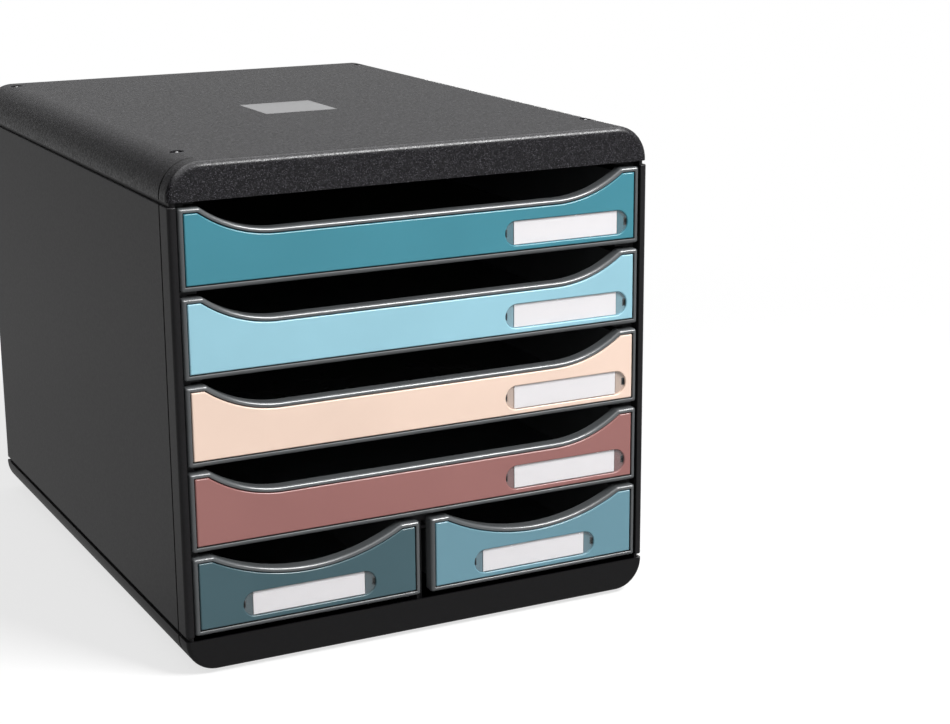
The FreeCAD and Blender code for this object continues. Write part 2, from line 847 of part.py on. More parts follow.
def drawers():
    wide = 2 * opening_half
    full_rows = SIZES["row_count"] - 1
    for number in range(1, full_rows + 1):
        drawer(number, full_rows + 1 - number, 0, wide, size.scoop_run, False)
    narrow = opening_half - size.middle_gap
    middle = size.middle_gap + narrow / 2
    for number, side in ((full_rows + 1, -1), (full_rows + 2, 1)):
        drawer(number, 0, side * middle, narrow, narrow / 2 - size.shoulder, True)


# ---------------------------------------------------------------- build, check and export

top_cover()
base()
side_panel("left_side_panel", -1)
side_panel("right_side_panel", 1)
back_panel()
shelf()
divider()
cover_pins()
rubber_feet()
badge()
drawers()
doc.recompute()

nodes = [thing for thing in doc.Objects
         if thing.TypeId in ("PartDesign::Body", "Part::Compound") or thing.Label == "badge_plate"]
for thing in doc.Objects:
    if {"Invalid", "Error"} & set(thing.State):
        raise RuntimeError(f"{thing.Label} did not compute: {thing.State}")
os.makedirs("parts", exist_ok=True)
for node in nodes:
    if node.Shape.isNull() or not node.Shape.isValid():
        raise RuntimeError(f"{node.Label} has no valid shape")
    node.Shape.exportStep(f"parts/{node.Label}.step")
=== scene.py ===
import math

import bmesh
import bpy
from mathutils import Matrix, Vector


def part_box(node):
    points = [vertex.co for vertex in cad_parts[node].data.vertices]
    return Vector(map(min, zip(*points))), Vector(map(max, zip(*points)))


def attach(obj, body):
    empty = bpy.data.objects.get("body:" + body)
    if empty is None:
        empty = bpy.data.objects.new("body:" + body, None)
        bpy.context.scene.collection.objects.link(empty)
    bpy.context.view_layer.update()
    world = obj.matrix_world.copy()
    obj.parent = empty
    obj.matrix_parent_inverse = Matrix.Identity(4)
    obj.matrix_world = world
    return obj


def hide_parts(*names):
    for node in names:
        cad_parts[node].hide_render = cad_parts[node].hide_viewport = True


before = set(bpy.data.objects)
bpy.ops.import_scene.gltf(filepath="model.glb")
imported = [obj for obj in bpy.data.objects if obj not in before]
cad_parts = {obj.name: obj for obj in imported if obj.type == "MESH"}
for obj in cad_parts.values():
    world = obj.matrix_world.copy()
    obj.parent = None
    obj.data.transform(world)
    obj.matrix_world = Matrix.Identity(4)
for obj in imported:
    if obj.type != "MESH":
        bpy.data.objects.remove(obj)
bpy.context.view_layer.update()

# Desk drawer unit: a matt charcoal casing with four full-width drawers over two half-width
# ones. Lengths are in metres. X runs to the right, Y to the back, Z up from the desk.

# ---- sizes

ARC_STEPS = 24
EDGE_STEPS = 5
CORNER_STEPS = 10
SMOOTH_ANGLE = math.radians(32)
SAME_SPOT = 1e-7
LEAST_MITRE = 0.2
SIDEWAYS = 0.01
OVERLAP = 0.0002
CUTTER_REACH = 0.001
SMALL_EDGE = 0.0003
TINY_EDGE = 0.0001

# casing
SHELL_WALL = 0.0026
COVER_BEND = 0.0185
BASE_BEND = 0.0165
COVER_EDGE = 0.0036
BASE_EDGE = 0.0022
SEAM_GAP = 0.0023
SEAM_STEP = 0.00135
TONGUE_DEPTH = 0.0041
TONGUE_REACH = 0.0061
TONGUE_INSET = 0.0015
TONGUE_WALL = 0.0015
POST_WIDTH = 0.0041
POST_DEPTH = 0.011
BACK_POST_WIDTH = 0.0055
BACK_POST_DEPTH = 0.0095
BACK_SLOT = (0.0033, 0.0061)
PANEL_WALL = 0.003
PANEL_CORNER = 0.0025
PANEL_EDGE = 0.0005
LINE_OFFSET = 0.0121
LINE_WIDTH = 0.0016
LINE_DEPTH = 0.0008
LINE_MARGIN = 0.0005
FIT_PLAY = 0.00015
RIB_WALL = 0.0016
RIB_HEIGHT = 0.008
RIB_FIRST = 0.092
RIB_STEP = 0.085
RIB_ROWS = 3
RIB_SIDE = 0.066
RIB_MIDDLE = 0.006
DIVIDER_SLOT = (0.00165, 0.00325)
DIVIDER_SETBACK = 0.009
SLOT_RIB_HEIGHT = 0.009
PIN_RADIUS = 0.0034
PIN_FOOT_EDGE = 0.0002
PIN_HEAD_EDGE = 0.0005
PIN_HEAD_DROP = 0.0007
PIN_TIP_RADIUS = 0.0009
PIN_TIP_DOME = 0.0004
PIN_TIP_SINK = 0.0002
PIN_TIP_PROFILE = ((1.0, 2.4), (1.0, 1.0), (0.9, 0.5), (0.6, 0.1), (0.2, 0.0))
BOSS_WIDTH = 0.012
FOOT_SIZE = (0.012, 0.024)
FOOT_EDGE = 0.0006

# drawer fronts and trays
FRONT_DEPTH = 0.007
FRONT_CORNER = 0.0015
LEAST_CORNER = 0.0004
FRONT_EDGE = 0.0018
SHOULDER = 0.011
SCOOP_DEPTH = 0.0135
SCOOP_RUN = 0.04
KINK_BEND = 0.003
LEAST_BEND = 0.0003
RIM = 0.0024
PLATE_POCKET = 0.0026
PLATE_WALL = 0.0024
PLATE_PLAY = 0.0005
PLATE_EDGE = 0.0008
LIP_DEPTH = 0.0022
TRAY_INSET = 0.0059
TRAY_WALL = 0.002
TRAY_FLOOR = 0.0018
TRAY_LIFT = 0.002
TRAY_HEIGHT = 0.038
TRAY_CORNER = 0.008
TRAY_EDGE = 0.0015
FLANGE_WALL = 0.002
FLANGE_INSET = 0.0013
FLANGE_END = 0.009
LUG_INSET = 0.0049
LUG_HEIGHT = 0.0034
LUG_LENGTH = 0.006
STOP_BACK = 0.0133
TRAVEL = 0.24
RAIL_PLAY = 0.0003
RAIL_SIDE_PLAY = 0.0007
RAIL_WALL = 0.0018
RAIL_EDGE = 0.0002
STOP_PLAY = 0.0006
UPPER_RAIL_DROP = 0.0006
UPPER_RAIL_COVER = 0.0045
ROW_COUNT = 5
ROW_GAP = 0.0032

# label windows
WINDOW_LENGTH = 0.0745
WINDOW_HEIGHT = 0.0132
WINDOW_SIDE = 0.0068
WINDOW_RISE = 0.0122
WINDOW_POCKET = 0.0016
WINDOW_WALL = 0.0009
WINDOW_SINK = 0.00015
WINDOW_PLAY = 0.0001
NOTCH_HEIGHT = 0.0042
NOTCH_DEPTH = 0.0018
SMALL_NOTCH_DEPTH = 0.0007
SLOT_REACH = 0.0006
SLOT_DEPTH = 0.0019
POCKET_EDGE = 0.0006
LABEL_END = 0.0058
LABEL_LENGTH = 0.0626
LABEL_GROOVE = 0.0005
POCKET_SHADE = 0.48

# ---- places from the frame

cover_low, cover_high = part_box("top_cover")
base_low, base_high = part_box("base")
first_front_low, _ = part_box("drawer_5_tray")
second_front_low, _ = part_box("drawer_4_tray")
half_width = cover_high.x
front_face = cover_low.y
back_face = cover_high.y
cover_seam = cover_low.z
cover_crown = cover_high.z
base_seam = base_high.z
base_bottom = base_low.z
panel_low = base_seam + SEAM_GAP
panel_high = cover_seam - SEAM_GAP
first_row = first_front_low.z
pitch = second_front_low.z - first_row
front_height = pitch - ROW_GAP


# ---- outlines

def arc(centre_x, centre_y, radius, start, end, steps=ARC_STEPS):
    """Points on an arc from one angle to another, in degrees."""
    points = []
    for step in range(steps + 1):
        angle = math.radians(start + (end - start) * step / steps)
        points.append((centre_x + radius * math.cos(angle), centre_y + radius * math.sin(angle)))
    return points


def circle(centre_x, centre_y, radius, steps=2 * ARC_STEPS):
    """Points once round a circle."""
    return arc(centre_x, centre_y, radius, 0, 360, steps)[:-1]


def inset_outline(outline, distance):
    """Move every side of a closed anticlockwise outline inwards by a distance."""
    moved = []
    for index, point in enumerate(outline):
        before = Vector(outline[index - 1])
        here = Vector(point)
        after = Vector(outline[(index + 1) % len(outline)])
        first = (here - before).normalized()
        second = (after - here).normalized()
        normal_one = Vector((-first.y, first.x))
        normal_two = Vector((-second.y, second.x))
        mitre = normal_one + normal_two
        moved.append(tuple(here + mitre * (distance / max(LEAST_MITRE, normal_one.dot(mitre)))))
    return moved


def front_outline(width, inset, side_inset=None, low=None):
    """Outline of a drawer front with its scooped top, drawn inwards from the full outline.

    On a wide front the scoop is flat in the middle, on a narrow one it is a single arc.
    """
    side_inset = inset if side_inset is None else side_inset
    low = inset if low is None else low
    side = width / 2 - side_inset
    high = front_height - inset
    corner = max(FRONT_CORNER - inset, LEAST_CORNER)
    scoop_half = width / 2 - SHOULDER
    run = SCOOP_RUN if scoop_half > 2 * SCOOP_RUN else scoop_half
    flat = scoop_half - run
    radius = (run * run + SCOOP_DEPTH * SCOOP_DEPTH) / (2 * SCOOP_DEPTH)
    scoop_y = front_height - SCOOP_DEPTH + radius
    bend = max(KINK_BEND - inset, LEAST_BEND)
    bend_y = high - bend
    reach = radius + inset + bend
    bend_x = flat + math.sqrt(reach * reach - (scoop_y - bend_y) ** 2)
    touch = math.degrees(math.atan2(scoop_y - bend_y, bend_x - flat))
    outline = arc(-side + corner, low + corner, corner, 180, 270, EDGE_STEPS)
    outline += arc(side - corner, low + corner, corner, 270, 360, EDGE_STEPS)
    outline += arc(side - corner, high - corner, corner, 0, 90, EDGE_STEPS)
    outline += arc(bend_x, bend_y, bend, 90, 180 - touch, EDGE_STEPS)
    outline += arc(flat, scoop_y, radius + inset, -touch, -90)[1:]
    outline += arc(-flat, scoop_y, radius + inset, -90, -180 + touch)[:-1]
    outline += arc(-bend_x, bend_y, bend, touch, 90, EDGE_STEPS)
    outline += arc(-side + corner, high - corner, corner, 90, 180, EDGE_STEPS)
    return outline


def stadium_outline(left, right, middle, height, inset=0.0):
    """Slot with half-round ends."""
    radius = height / 2
    return (arc(right - radius, middle, radius - inset, -90, 90)
            + arc(left + radius, middle, radius - inset, 90, 270))


def pane_outline(left, right, middle, height, inset=0.0):
    """Label window: a slot shape with a thumb notch bitten out of each end."""
    radius = height / 2
    half_notch = math.degrees(math.asin(NOTCH_HEIGHT / 2 / radius))

    def notched_end(centre, side, depth):
        rim_x = radius * math.cos(math.radians(half_notch))
        sag = depth - (radius - rim_x)
        half = NOTCH_HEIGHT / 2
        bite = (half * half + sag * sag) / (2 * sag)
        spread = math.degrees(math.asin(half / bite))
        notch_x = centre + side * (rim_x - sag + bite)
        if side > 0:
            notch = arc(notch_x, middle, bite + inset, 180 + spread, 180 - spread)
            return (arc(centre, middle, radius - inset, -90, -half_notch) + notch[1:-1]
                    + arc(centre, middle, radius - inset, half_notch, 90))
        notch = arc(notch_x, middle, bite + inset, spread, -spread)
        return (arc(centre, middle, radius - inset, 90, 180 - half_notch) + notch[1:-1]
                + arc(centre, middle, radius - inset, 180 + half_notch, 270))

    return (notched_end(right - radius, 1, NOTCH_DEPTH)
            + notched_end(left + radius, -1, SMALL_NOTCH_DEPTH))


# ---- mesh helpers

def quarter_round(radius):
    """(inset, rise) pairs over a rounded edge, from its full inset to its full rise."""
    angles = [math.pi / 2 * step / EDGE_STEPS for step in range(EDGE_STEPS + 1)]
    return [(radius * (1 - math.sin(angle)), radius * (1 - math.cos(angle))) for angle in angles]


def rounded_levels(start, end, start_edge, end_edge):
    """(inset, level) pairs of a solid between two levels with a rounded edge at each."""
    way = 1 if end > start else -1
    return ([(inset, start + way * rise) for inset, rise in quarter_round(start_edge)]
            + [(rise, end - way * inset) for inset, rise in quarter_round(end_edge)])


def across(points, y):
    """Points of an outline seen from the front, at one depth."""
    return [Vector((u, y, v)) for u, v in points]


def level(points, z):
    """Points of an outline seen from above, at one height."""
    return [Vector((u, v, z)) for u, v in points]


def on_front(points, middle, bottom, depth):
    """Points of an outline on a drawer front, at a depth behind the casing's front."""
    return [Vector((middle + u, front_face + depth, bottom + v)) for u, v in points]


def solid(loops, into=None):
    """Closed solid through matching loops of points, capped at both ends."""
    mesh = into or bmesh.new()
    rings = [[mesh.verts.new(point) for point in loop] for loop in loops]
    faces = []
    for ring, following in zip(rings, rings[1:]):
        for index, corner in enumerate(ring):
            nearby = (index + 1) % len(ring)
            faces.append(mesh.faces.new((corner, ring[nearby], following[nearby], following[index])))
    faces.append(mesh.faces.new(list(reversed(rings[0]))))
    faces.append(mesh.faces.new(rings[-1]))
    bmesh.ops.recalc_face_normals(mesh, faces=faces)
    return mesh


def rounded_box(low, high, edge, into=None):
    """Box between two corners with small rounded edges at its top and bottom."""
    outline = [(low[0], low[1]), (high[0], low[1]), (high[0], high[1]), (low[0], high[1])]
    return solid([level(inset_outline(outline, inset), z)
                  for inset, z in rounded_levels(low[2], high[2], edge, edge)], into)


def in_scene(name, data):
    """New object in the scene."""
    piece = bpy.data.objects.new(name, data)
    bpy.context.scene.collection.objects.link(piece)
    return piece


def finish_mesh(name, mesh):
    """Turn a bmesh into an object in the scene."""
    data = bpy.data.meshes.new(name)
    mesh.to_mesh(data)
    mesh.free()
    return in_scene(name, data)


def cut(piece, loops):
    """Cut the closed solid through some loops of points out of a piece."""
    cutter = finish_mesh("cutter", solid(loops))
    step = piece.modifiers.new("cut", "BOOLEAN")
    step.operation = "DIFFERENCE"
    step.solver = "EXACT"
    step.object = cutter
    settle(piece)
    bpy.data.objects.remove(cutter)


def settle(piece):
    """Apply every modifier of a piece to its mesh."""
    bpy.context.view_layer.update()
    evaluated = piece.evaluated_get(bpy.context.evaluated_depsgraph_get())
    data = bpy.data.meshes.new_from_object(evaluated)
    piece.modifiers.clear()
    piece.data = data


def smooth(piece):
    """Smooth shading that keeps flat faces flat and sharp edges sharp."""
    mesh = bmesh.new()
    mesh.from_mesh(piece.data)
    bmesh.ops.remove_doubles(mesh, verts=mesh.verts, dist=SAME_SPOT)
    mesh.to_mesh(piece.data)
    mesh.free()
    piece.data.polygons.foreach_set("use_smooth", [True] * len(piece.data.polygons))
    piece.data.set_sharp_from_angle(angle=SMOOTH_ANGLE)
    step = piece.modifiers.new("even_normals", "WEIGHTED_NORMAL")
    step.keep_sharp = True
    settle(piece)


def mark_painted_shade(piece, depth_at):
    """Mark every face with how much shade is painted on it in a seam, groove or pocket, from 0 to 1.
    """
    painted_shade = piece.data.attributes.new("painted_shade", "FLOAT", "FACE")
    for face, mark in zip(piece.data.polygons, painted_shade.data):
        mark.value = float(depth_at(face.center, face.normal))


def dress(piece, material, slot, body, *nodes):
    """Give a finished piece its material, its body and the nodes that it stands for."""
    piece.data.materials.clear()
    piece.data.materials.append(material)
    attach(piece, body)
    if nodes:
        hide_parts(*nodes)


# ---- materials

def shade(colour, share):
    """A colour made darker or paler, white at the most."""
    return tuple(min(1.0, value * share) for value in colour)


class Nodes:
    """A node tree being built, for a material or for the surroundings."""

    def __init__(self, tree):
        self.tree = tree

    def add(self, kind, **values):
        """New node with some of its settings."""
        node = self.tree.nodes.new(kind)
        for name, value in values.items():
            setattr(node, name, value)
        return node

    def join(self, source, target):
        """Link an output to an input."""
        self.tree.links.new(source, target)

    def feed(self, socket, value):
        """Give an input a number or a colour, or the output of another node."""
        if isinstance(value, float):
            socket.default_value = value
        elif isinstance(value, tuple):
            socket.default_value = (*value, 1)
        else:
            self.join(value, socket)

    def spread(self, source, low, high, new_low=0.0, new_high=1.0, curve="LINEAR"):
        """Stretch a range of values over another."""
        node = self.add("ShaderNodeMapRange", interpolation_type=curve)
        self.join(source, node.inputs["Value"])
        for name, value in (("From Min", low), ("From Max", high),
                            ("To Min", new_low), ("To Max", new_high)):
            self.feed(node.inputs[name], value)
        return node.outputs["Result"]

    # A Mix node takes numbers at inputs 2 and 3 and gives output 0. Colours use 6, 7 and 2.

    def blend(self, amount, first, second):
        """Mix two colours: the first at 0, the second at 1."""
        node = self.add("ShaderNodeMix", data_type="RGBA")
        self.join(amount, node.inputs["Factor"])
        self.feed(node.inputs[6], first)
        self.feed(node.inputs[7], second)
        return node.outputs[2]

    def choose(self, amount, first, second):
        """Mix two numbers: the first at 0, the second at 1."""
        node = self.add("ShaderNodeMix")
        self.join(amount, node.inputs["Factor"])
        self.feed(node.inputs[2], first)
        self.feed(node.inputs[3], second)
        return node.outputs[0]

    def reckon(self, operation, first, second):
        """Sum, product or other result of two numbers."""
        node = self.add("ShaderNodeMath", operation=operation)
        self.join(first, node.inputs[0])
        self.join(second, node.inputs[1])
        return node.outputs[0]

    def seen(self):
        """1 for glossy rays, and 1 for camera, glossy and transmission rays, 0 for the rest."""
        rays = self.add("ShaderNodeLightPath").outputs
        glossy = rays["Is Glossy Ray"]
        shown = self.reckon("MAXIMUM", rays["Is Camera Ray"], glossy)
        return glossy, self.reckon("MAXIMUM", shown, rays["Is Transmission Ray"])


class Finish(Nodes):
    """A material being built: one Principled shader and the nodes that feed it."""

    def __init__(self, name, colour, roughness, gloss=0.5):
        self.material = bpy.data.materials.new(name)
        self.material.use_nodes = True
        super().__init__(self.material.node_tree)
        self.tree.nodes.clear()
        output = self.add("ShaderNodeOutputMaterial")
        self.shader = self.add("ShaderNodeBsdfPrincipled")
        self.shader.inputs["Base Color"].default_value = (*colour, 1)
        self.shader.inputs["Roughness"].default_value = roughness
        self.shader.inputs["Specular IOR Level"].default_value = gloss
        self.join(self.shader.outputs[0], output.inputs["Surface"])
        self.place = self.add("ShaderNodeTexCoord").outputs["Object"]

    def grain(self, scale, detail=2.0, roughness=0.5, place=None):
        """Noise at a number of grains per metre."""
        node = self.add("ShaderNodeTexNoise")
        node.inputs["Scale"].default_value = scale
        node.inputs["Detail"].default_value = detail
        node.inputs["Roughness"].default_value = roughness
        self.join(place or self.place, node.inputs["Vector"])
        return node.outputs["Fac"]

    def height(self, axis):
        """One of the object's own coordinates."""
        parts = self.add("ShaderNodeSeparateXYZ")
        self.join(self.place, parts.inputs[0])
        return parts.outputs[axis]

    def painted_shade(self):
        """How much shade is painted on a face in a seam, groove or pocket, from 0 to 1."""
        return self.add("ShaderNodeAttribute", attribute_name="painted_shade").outputs["Fac"]

    def vary(self, grain, paler, tones, roughness):
        """Roughness that follows a grain, and the tone that goes with it."""
        self.rough(self.spread(grain, 0.3, 0.7, *roughness))
        return self.blend(self.spread(grain, *paler), *tones)

    def colour(self, source):
        """Colour of the surface."""
        self.join(source, self.shader.inputs["Base Color"])

    def rough(self, source):
        """Roughness of the surface."""
        self.join(source, self.shader.inputs["Roughness"])

    def bump(self, source, depth, strength=1.0):
        """Relief of a depth in metres."""
        node = self.add("ShaderNodeBump")
        node.inputs["Distance"].default_value = depth
        node.inputs["Strength"].default_value = strength
        self.join(source, node.inputs["Height"])
        self.join(node.outputs["Normal"], self.shader.inputs["Normal"])


def charcoal(name, tone, painted_sparkle, grain_depth, mottle, roughness, sheen_play):
    """Near-black moulding: its grain is deep on the cover and fine on the panels and base, and its
    pale speckles are painted sparkle highlights.
    """
    finish = Finish(name, tone, roughness, 0.42)
    grains = finish.grain(1900, 2.0, 0.7)
    patches = finish.grain(520, 4.0, 0.75)
    shade_mask = finish.painted_shade()
    body = finish.blend(finish.spread(patches, 0.4, 0.6),
                        shade(tone, 1 - mottle), shade(tone, 1 + mottle))
    # painted sparkle: pale specks on the grain stand in for small glints of light
    with_sparkle = finish.blend(finish.spread(grains, 0.57, 0.66), body, painted_sparkle)
    # painted shade: marked faces in seams, the fine line and pockets turn near black and lose their
    # gloss
    finish.colour(finish.blend(shade_mask, with_sparkle, (0.002, 0.002, 0.002)))
    sheen = finish.spread(patches, 0.4, 0.6, roughness + sheen_play, roughness - sheen_play)
    finish.rough(finish.spread(shade_mask, 0.0, 1.0, sheen, 1.0))
    finish.bump(grains, grain_depth)
    return finish.material


def smooth_anthracite():
    """Satin anthracite plastic of the drawers, with the faint flow marks of moulding and painted
    shade in its seams and slots.
    """
    finish = Finish("smooth_anthracite", (0.105, 0.111, 0.116), 0.2, 0.75)
    flow = finish.grain(40, 3.0)
    shade_mask = finish.painted_shade()
    tone = finish.blend(finish.spread(flow, 0.3, 0.7), (0.100, 0.106, 0.110), (0.112, 0.119, 0.124))
    # painted shade: near black and without gloss in the seat of the plate and the window slots
    finish.colour(finish.blend(shade_mask, tone, (0.006, 0.006, 0.006)))
    finish.rough(finish.spread(shade_mask, 0.0, 1.0, finish.spread(flow, 0.3, 0.7, 0.17, 0.24), 1.0))
    finish.bump(finish.grain(900), 0.00001, 0.4)
    return finish.material


def matt_board():
    """Plain matt charcoal plastic for runners, shelf and divider."""
    colour = (0.022, 0.022, 0.024)
    finish = Finish("runner_board", colour, 0.55)
    fine = finish.grain(1100)
    finish.colour(finish.vary(fine, (0.4, 0.7), (colour, shade(colour, 1.35)), (0.48, 0.62)))
    finish.bump(fine, 0.00004, 0.4)
    return finish.material


def pin_plastic():
    """Matt black, with a painted glint: the small tip of each pin is pale."""
    finish = Finish("pin_black", (0.028, 0.028, 0.030), 0.5)
    fine = finish.grain(1100)
    tip = cover_crown - PIN_TIP_SINK
    # painted glint: the tip is coloured pale to stand in for a highlight
    painted_glint = finish.spread(finish.height("Z"), tip - 2 * PIN_TIP_DOME, tip - PIN_TIP_DOME)
    body = finish.vary(fine, (0.4, 0.7), ((0.028, 0.028, 0.030), (0.038, 0.038, 0.040)), (0.42, 0.55))
    finish.colour(finish.blend(painted_glint, body, (0.60, 0.60, 0.61)))
    finish.bump(fine, 0.00003, 0.4)
    return finish.material


def foot_rubber():
    """Dull black rubber."""
    finish = Finish("foot_rubber", (0.02, 0.02, 0.02), 0.8)
    fine = finish.grain(700, 3.0)
    tones = ((0.017, 0.017, 0.017), (0.032, 0.032, 0.032))
    finish.colour(finish.vary(fine, (0.35, 0.7), tones, (0.72, 0.86)))
    finish.bump(fine, 0.00005, 0.5)
    return finish.material


def plate_lacquer(name, colour):
    """Even satin colour of a drawer plate, with shade painted in the recess behind its label window
    and in the gap round the plate.
    """
    finish = Finish(name, colour, 0.25, 0.7)
    flow = finish.grain(18, 3.0)
    tone = finish.vary(flow, (0.3, 0.7), (shade(colour, 0.96), shade(colour, 1.03)), (0.23, 0.27))
    # painted shade: marked faces take a much darker colour of the plate
    finish.colour(finish.blend(finish.painted_shade(), tone, shade(colour, 0.2)))
    finish.bump(finish.grain(1300), 0.000002, 0.35)
    return finish.material


def label_paper():
    """White paper with its fibres."""
    finish = Finish("label_paper", (0.94, 0.905, 0.92), 0.8)
    fibres = finish.grain(1800, 4.0, 0.7)
    tones = ((0.92, 0.885, 0.90), (0.96, 0.925, 0.94))
    finish.colour(finish.vary(fibres, (0.35, 0.65), tones, (0.72, 0.88)))
    finish.bump(fibres, 0.00001, 0.3)
    return finish.material


def satin_badge():
    """Bare pale metal with a fine lengthwise brushing."""
    finish = Finish("satin_badge", (0.39, 0.39, 0.395), 0.45)
    finish.shader.inputs["Metallic"].default_value = 0.15
    stretch = finish.add("ShaderNodeMapping")
    stretch.inputs["Scale"].default_value = (20, 900, 900)
    finish.join(finish.place, stretch.inputs["Vector"])
    lines = finish.grain(1.0, 3.0, place=stretch.outputs["Vector"])
    tones = ((0.365, 0.365, 0.37), (0.42, 0.42, 0.425))
    finish.colour(finish.vary(lines, (0.3, 0.7), tones, (0.38, 0.52)))
    finish.bump(lines, 0.000008, 0.4)
    return finish.material


def clear_pane():
    """Thin clear plastic, nearly see-through, with a gloss that varies a little."""
    finish = Finish("clear_pane", (0.60, 0.64, 0.66), 0.06)
    finish.rough(finish.spread(finish.grain(60), 0.3, 0.7, 0.04, 0.10))
    finish.shader.inputs["Alpha"].default_value = 0.08
    return finish.material


# ---- casing

def shell_outline(seam, crown, bend, inset):
    """Front view of the cover or base: flat, rounded at both sides and cut off at the seam."""
    up = 1 if crown > seam else -1
    side = half_width - inset
    radius = bend - inset
    turn = crown - up * bend
    right = arc(half_width - bend, turn, radius, 0, 90 * up)
    left = arc(bend - half_width, turn, radius, 90 * up, 180 * up)
    return [(side, seam)] + right + left + [(-side, seam)]


def fading_line(seam, crown, bend, side):
    """Loops that cut the fine line, which runs up a rounded edge and fades out on the flat."""
    up = 1 if crown > seam else -1
    reach = bend - LINE_DEPTH
    fade = (reach * reach + bend * bend) / (2 * bend)
    spread = math.degrees(math.asin(bend / fade)) if bend < fade else 90.0
    centre = (half_width - bend, crown - up * fade)
    curve = arc(0, 0, fade, 90, 90 - spread)
    outside = half_width + LINE_DEPTH
    points = [(half_width - LINE_DEPTH, seam - up * LINE_DEPTH), (outside, seam - up * LINE_DEPTH),
              (outside, crown + up * LINE_DEPTH), (half_width - bend, crown + up * LINE_DEPTH)]
    points += [(centre[0] + x, centre[1] + up * y) for x, y in curve]
    points = [(side * x, z) for x, z in points]
    low = front_face + LINE_OFFSET
    return [across(points, low), across(points, low + LINE_WIDTH)]


def shell(name, seam, crown, bend, edge):
    """Cover or base: a thin moulded shell with rounded edges, open at its seam."""
    up = 1 if crown > seam else -1
    piece = finish_mesh(name, solid([
        across(shell_outline(seam, crown, bend, inset), y)
        for inset, y in rounded_levels(front_face, back_face, edge, edge / 2)]))
    reach = half_width - SEAM_STEP
    outside, inside = seam - up * TONGUE_DEPTH, seam + up * TONGUE_DEPTH
    hollow = shell_outline(seam - up * SHELL_WALL, crown, bend, SHELL_WALL)
    ledge = [(reach, outside), (reach, inside), (-reach, inside), (-reach, outside)]
    for outline, inset in ((hollow, SHELL_WALL), (ledge, SEAM_STEP)):
        cut(piece, [across(outline, front_face + inset), across(outline, back_face - inset)])
    for side in (-1, 1):
        cut(piece, fading_line(seam, crown, bend, side))
    return piece


def cover_and_base(grained, dark):
    """Cover with its pin holes and the seat of the badge, and the plainer base."""
    cover = shell("top_cover_shell", cover_seam, cover_crown, COVER_BEND, COVER_EDGE)
    for x, y in pin_places():
        hole = circle(x, y, PIN_RADIUS + FIT_PLAY)
        cut(cover, [level(hole, cover_crown - 2 * SHELL_WALL),
                    level(hole, cover_crown + SHELL_WALL)])
    low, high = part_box("badge_plate")
    seat = inset_outline([(low.x, low.y), (high.x, low.y), (high.x, high.y), (low.x, high.y)],
                         -FIT_PLAY)
    cut(cover, [level(seat, low.z), level(seat, high.z + SHELL_WALL)])
    smooth(cover)
    mark_painted_shade(cover, in_line)
    dress(cover, grained, "charcoal_casing", "casing", "top_cover")

    base = shell("base_shell", base_seam, base_bottom, BASE_BEND, BASE_EDGE)
    smooth(base)
    mark_painted_shade(base, in_line)
    dress(base, dark, "charcoal_casing", "casing", "base")


def in_line(spot, facing):
    """Whether a face lies in the fine line behind the front of the casing, where shade is painted."""
    into = spot.y - front_face - LINE_OFFSET
    return -LINE_MARGIN < into < LINE_WIDTH + LINE_MARGIN


def pin_places():
    """Middles of the four pins, seen from above."""
    low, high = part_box("cover_pins")
    return [(x, y) for x in (low.x + PIN_RADIUS, high.x - PIN_RADIUS)
            for y in (low.y + PIN_RADIUS, high.y - PIN_RADIUS)]


def side_panel(name, node, side, plain):
    """Side panel with its front and back posts, the back panel's slot and the fine line."""
    depth = back_face - front_face
    corner = PANEL_CORNER
    inner = half_width - PANEL_WALL
    back_post = half_width - BACK_POST_WIDTH
    slot_back, slot_front = depth - BACK_SLOT[0], depth - BACK_SLOT[1]
    outline = arc(half_width - corner, corner, corner, -90, 0, EDGE_STEPS)
    outline += [(half_width, LINE_OFFSET), (half_width - LINE_DEPTH, LINE_OFFSET),
                (half_width - LINE_DEPTH, LINE_OFFSET + LINE_WIDTH),
                (half_width, LINE_OFFSET + LINE_WIDTH)]
    outline += arc(half_width - corner, depth - corner, corner, 0, 90, EDGE_STEPS)
    outline += [(back_post, depth), (back_post, slot_back), (inner, slot_back),
                (inner, slot_front), (back_post, slot_front),
                (back_post, depth - BACK_POST_DEPTH), (inner, depth - BACK_POST_DEPTH),
                (inner, POST_DEPTH), (half_width - POST_WIDTH, POST_DEPTH),
                (half_width - POST_WIDTH, 0)]

    def placed(points, z):
        shifted = [Vector((side * u, v + front_face, z)) for u, v in points]
        return shifted if side > 0 else shifted[::-1]

    mesh = solid([placed(inset_outline(outline, inset), z) for inset, z in
                  rounded_levels(panel_low, panel_high, PANEL_EDGE, PANEL_EDGE)])
    outer = half_width - TONGUE_INSET
    wall = outer - TONGUE_WALL
    bend = corner - PANEL_EDGE
    start, end = TONGUE_INSET, depth - TONGUE_INSET
    tongue = arc(outer - bend, start + bend, bend, -90, 0, EDGE_STEPS)
    tongue += arc(outer - bend, end - bend, bend, 0, 90, EDGE_STEPS)
    tongue += [(wall - bend, end), (wall - bend, end - TONGUE_WALL), (wall, end - TONGUE_WALL),
               (wall, start + TONGUE_WALL), (half_width - POST_WIDTH, start + TONGUE_WALL),
               (half_width - POST_WIDTH, start)]
    for low, high in ((panel_low - TONGUE_REACH, panel_low + PANEL_EDGE),
                      (panel_high - PANEL_EDGE, panel_high + TONGUE_REACH)):
        solid([placed(tongue, low), placed(tongue, high)], mesh)
    piece = finish_mesh(name, mesh)
    smooth(piece)
    mark_painted_shade(piece, in_line)
    dress(piece, plain, "charcoal_casing", "casing", node)


# ---- repeated pieces

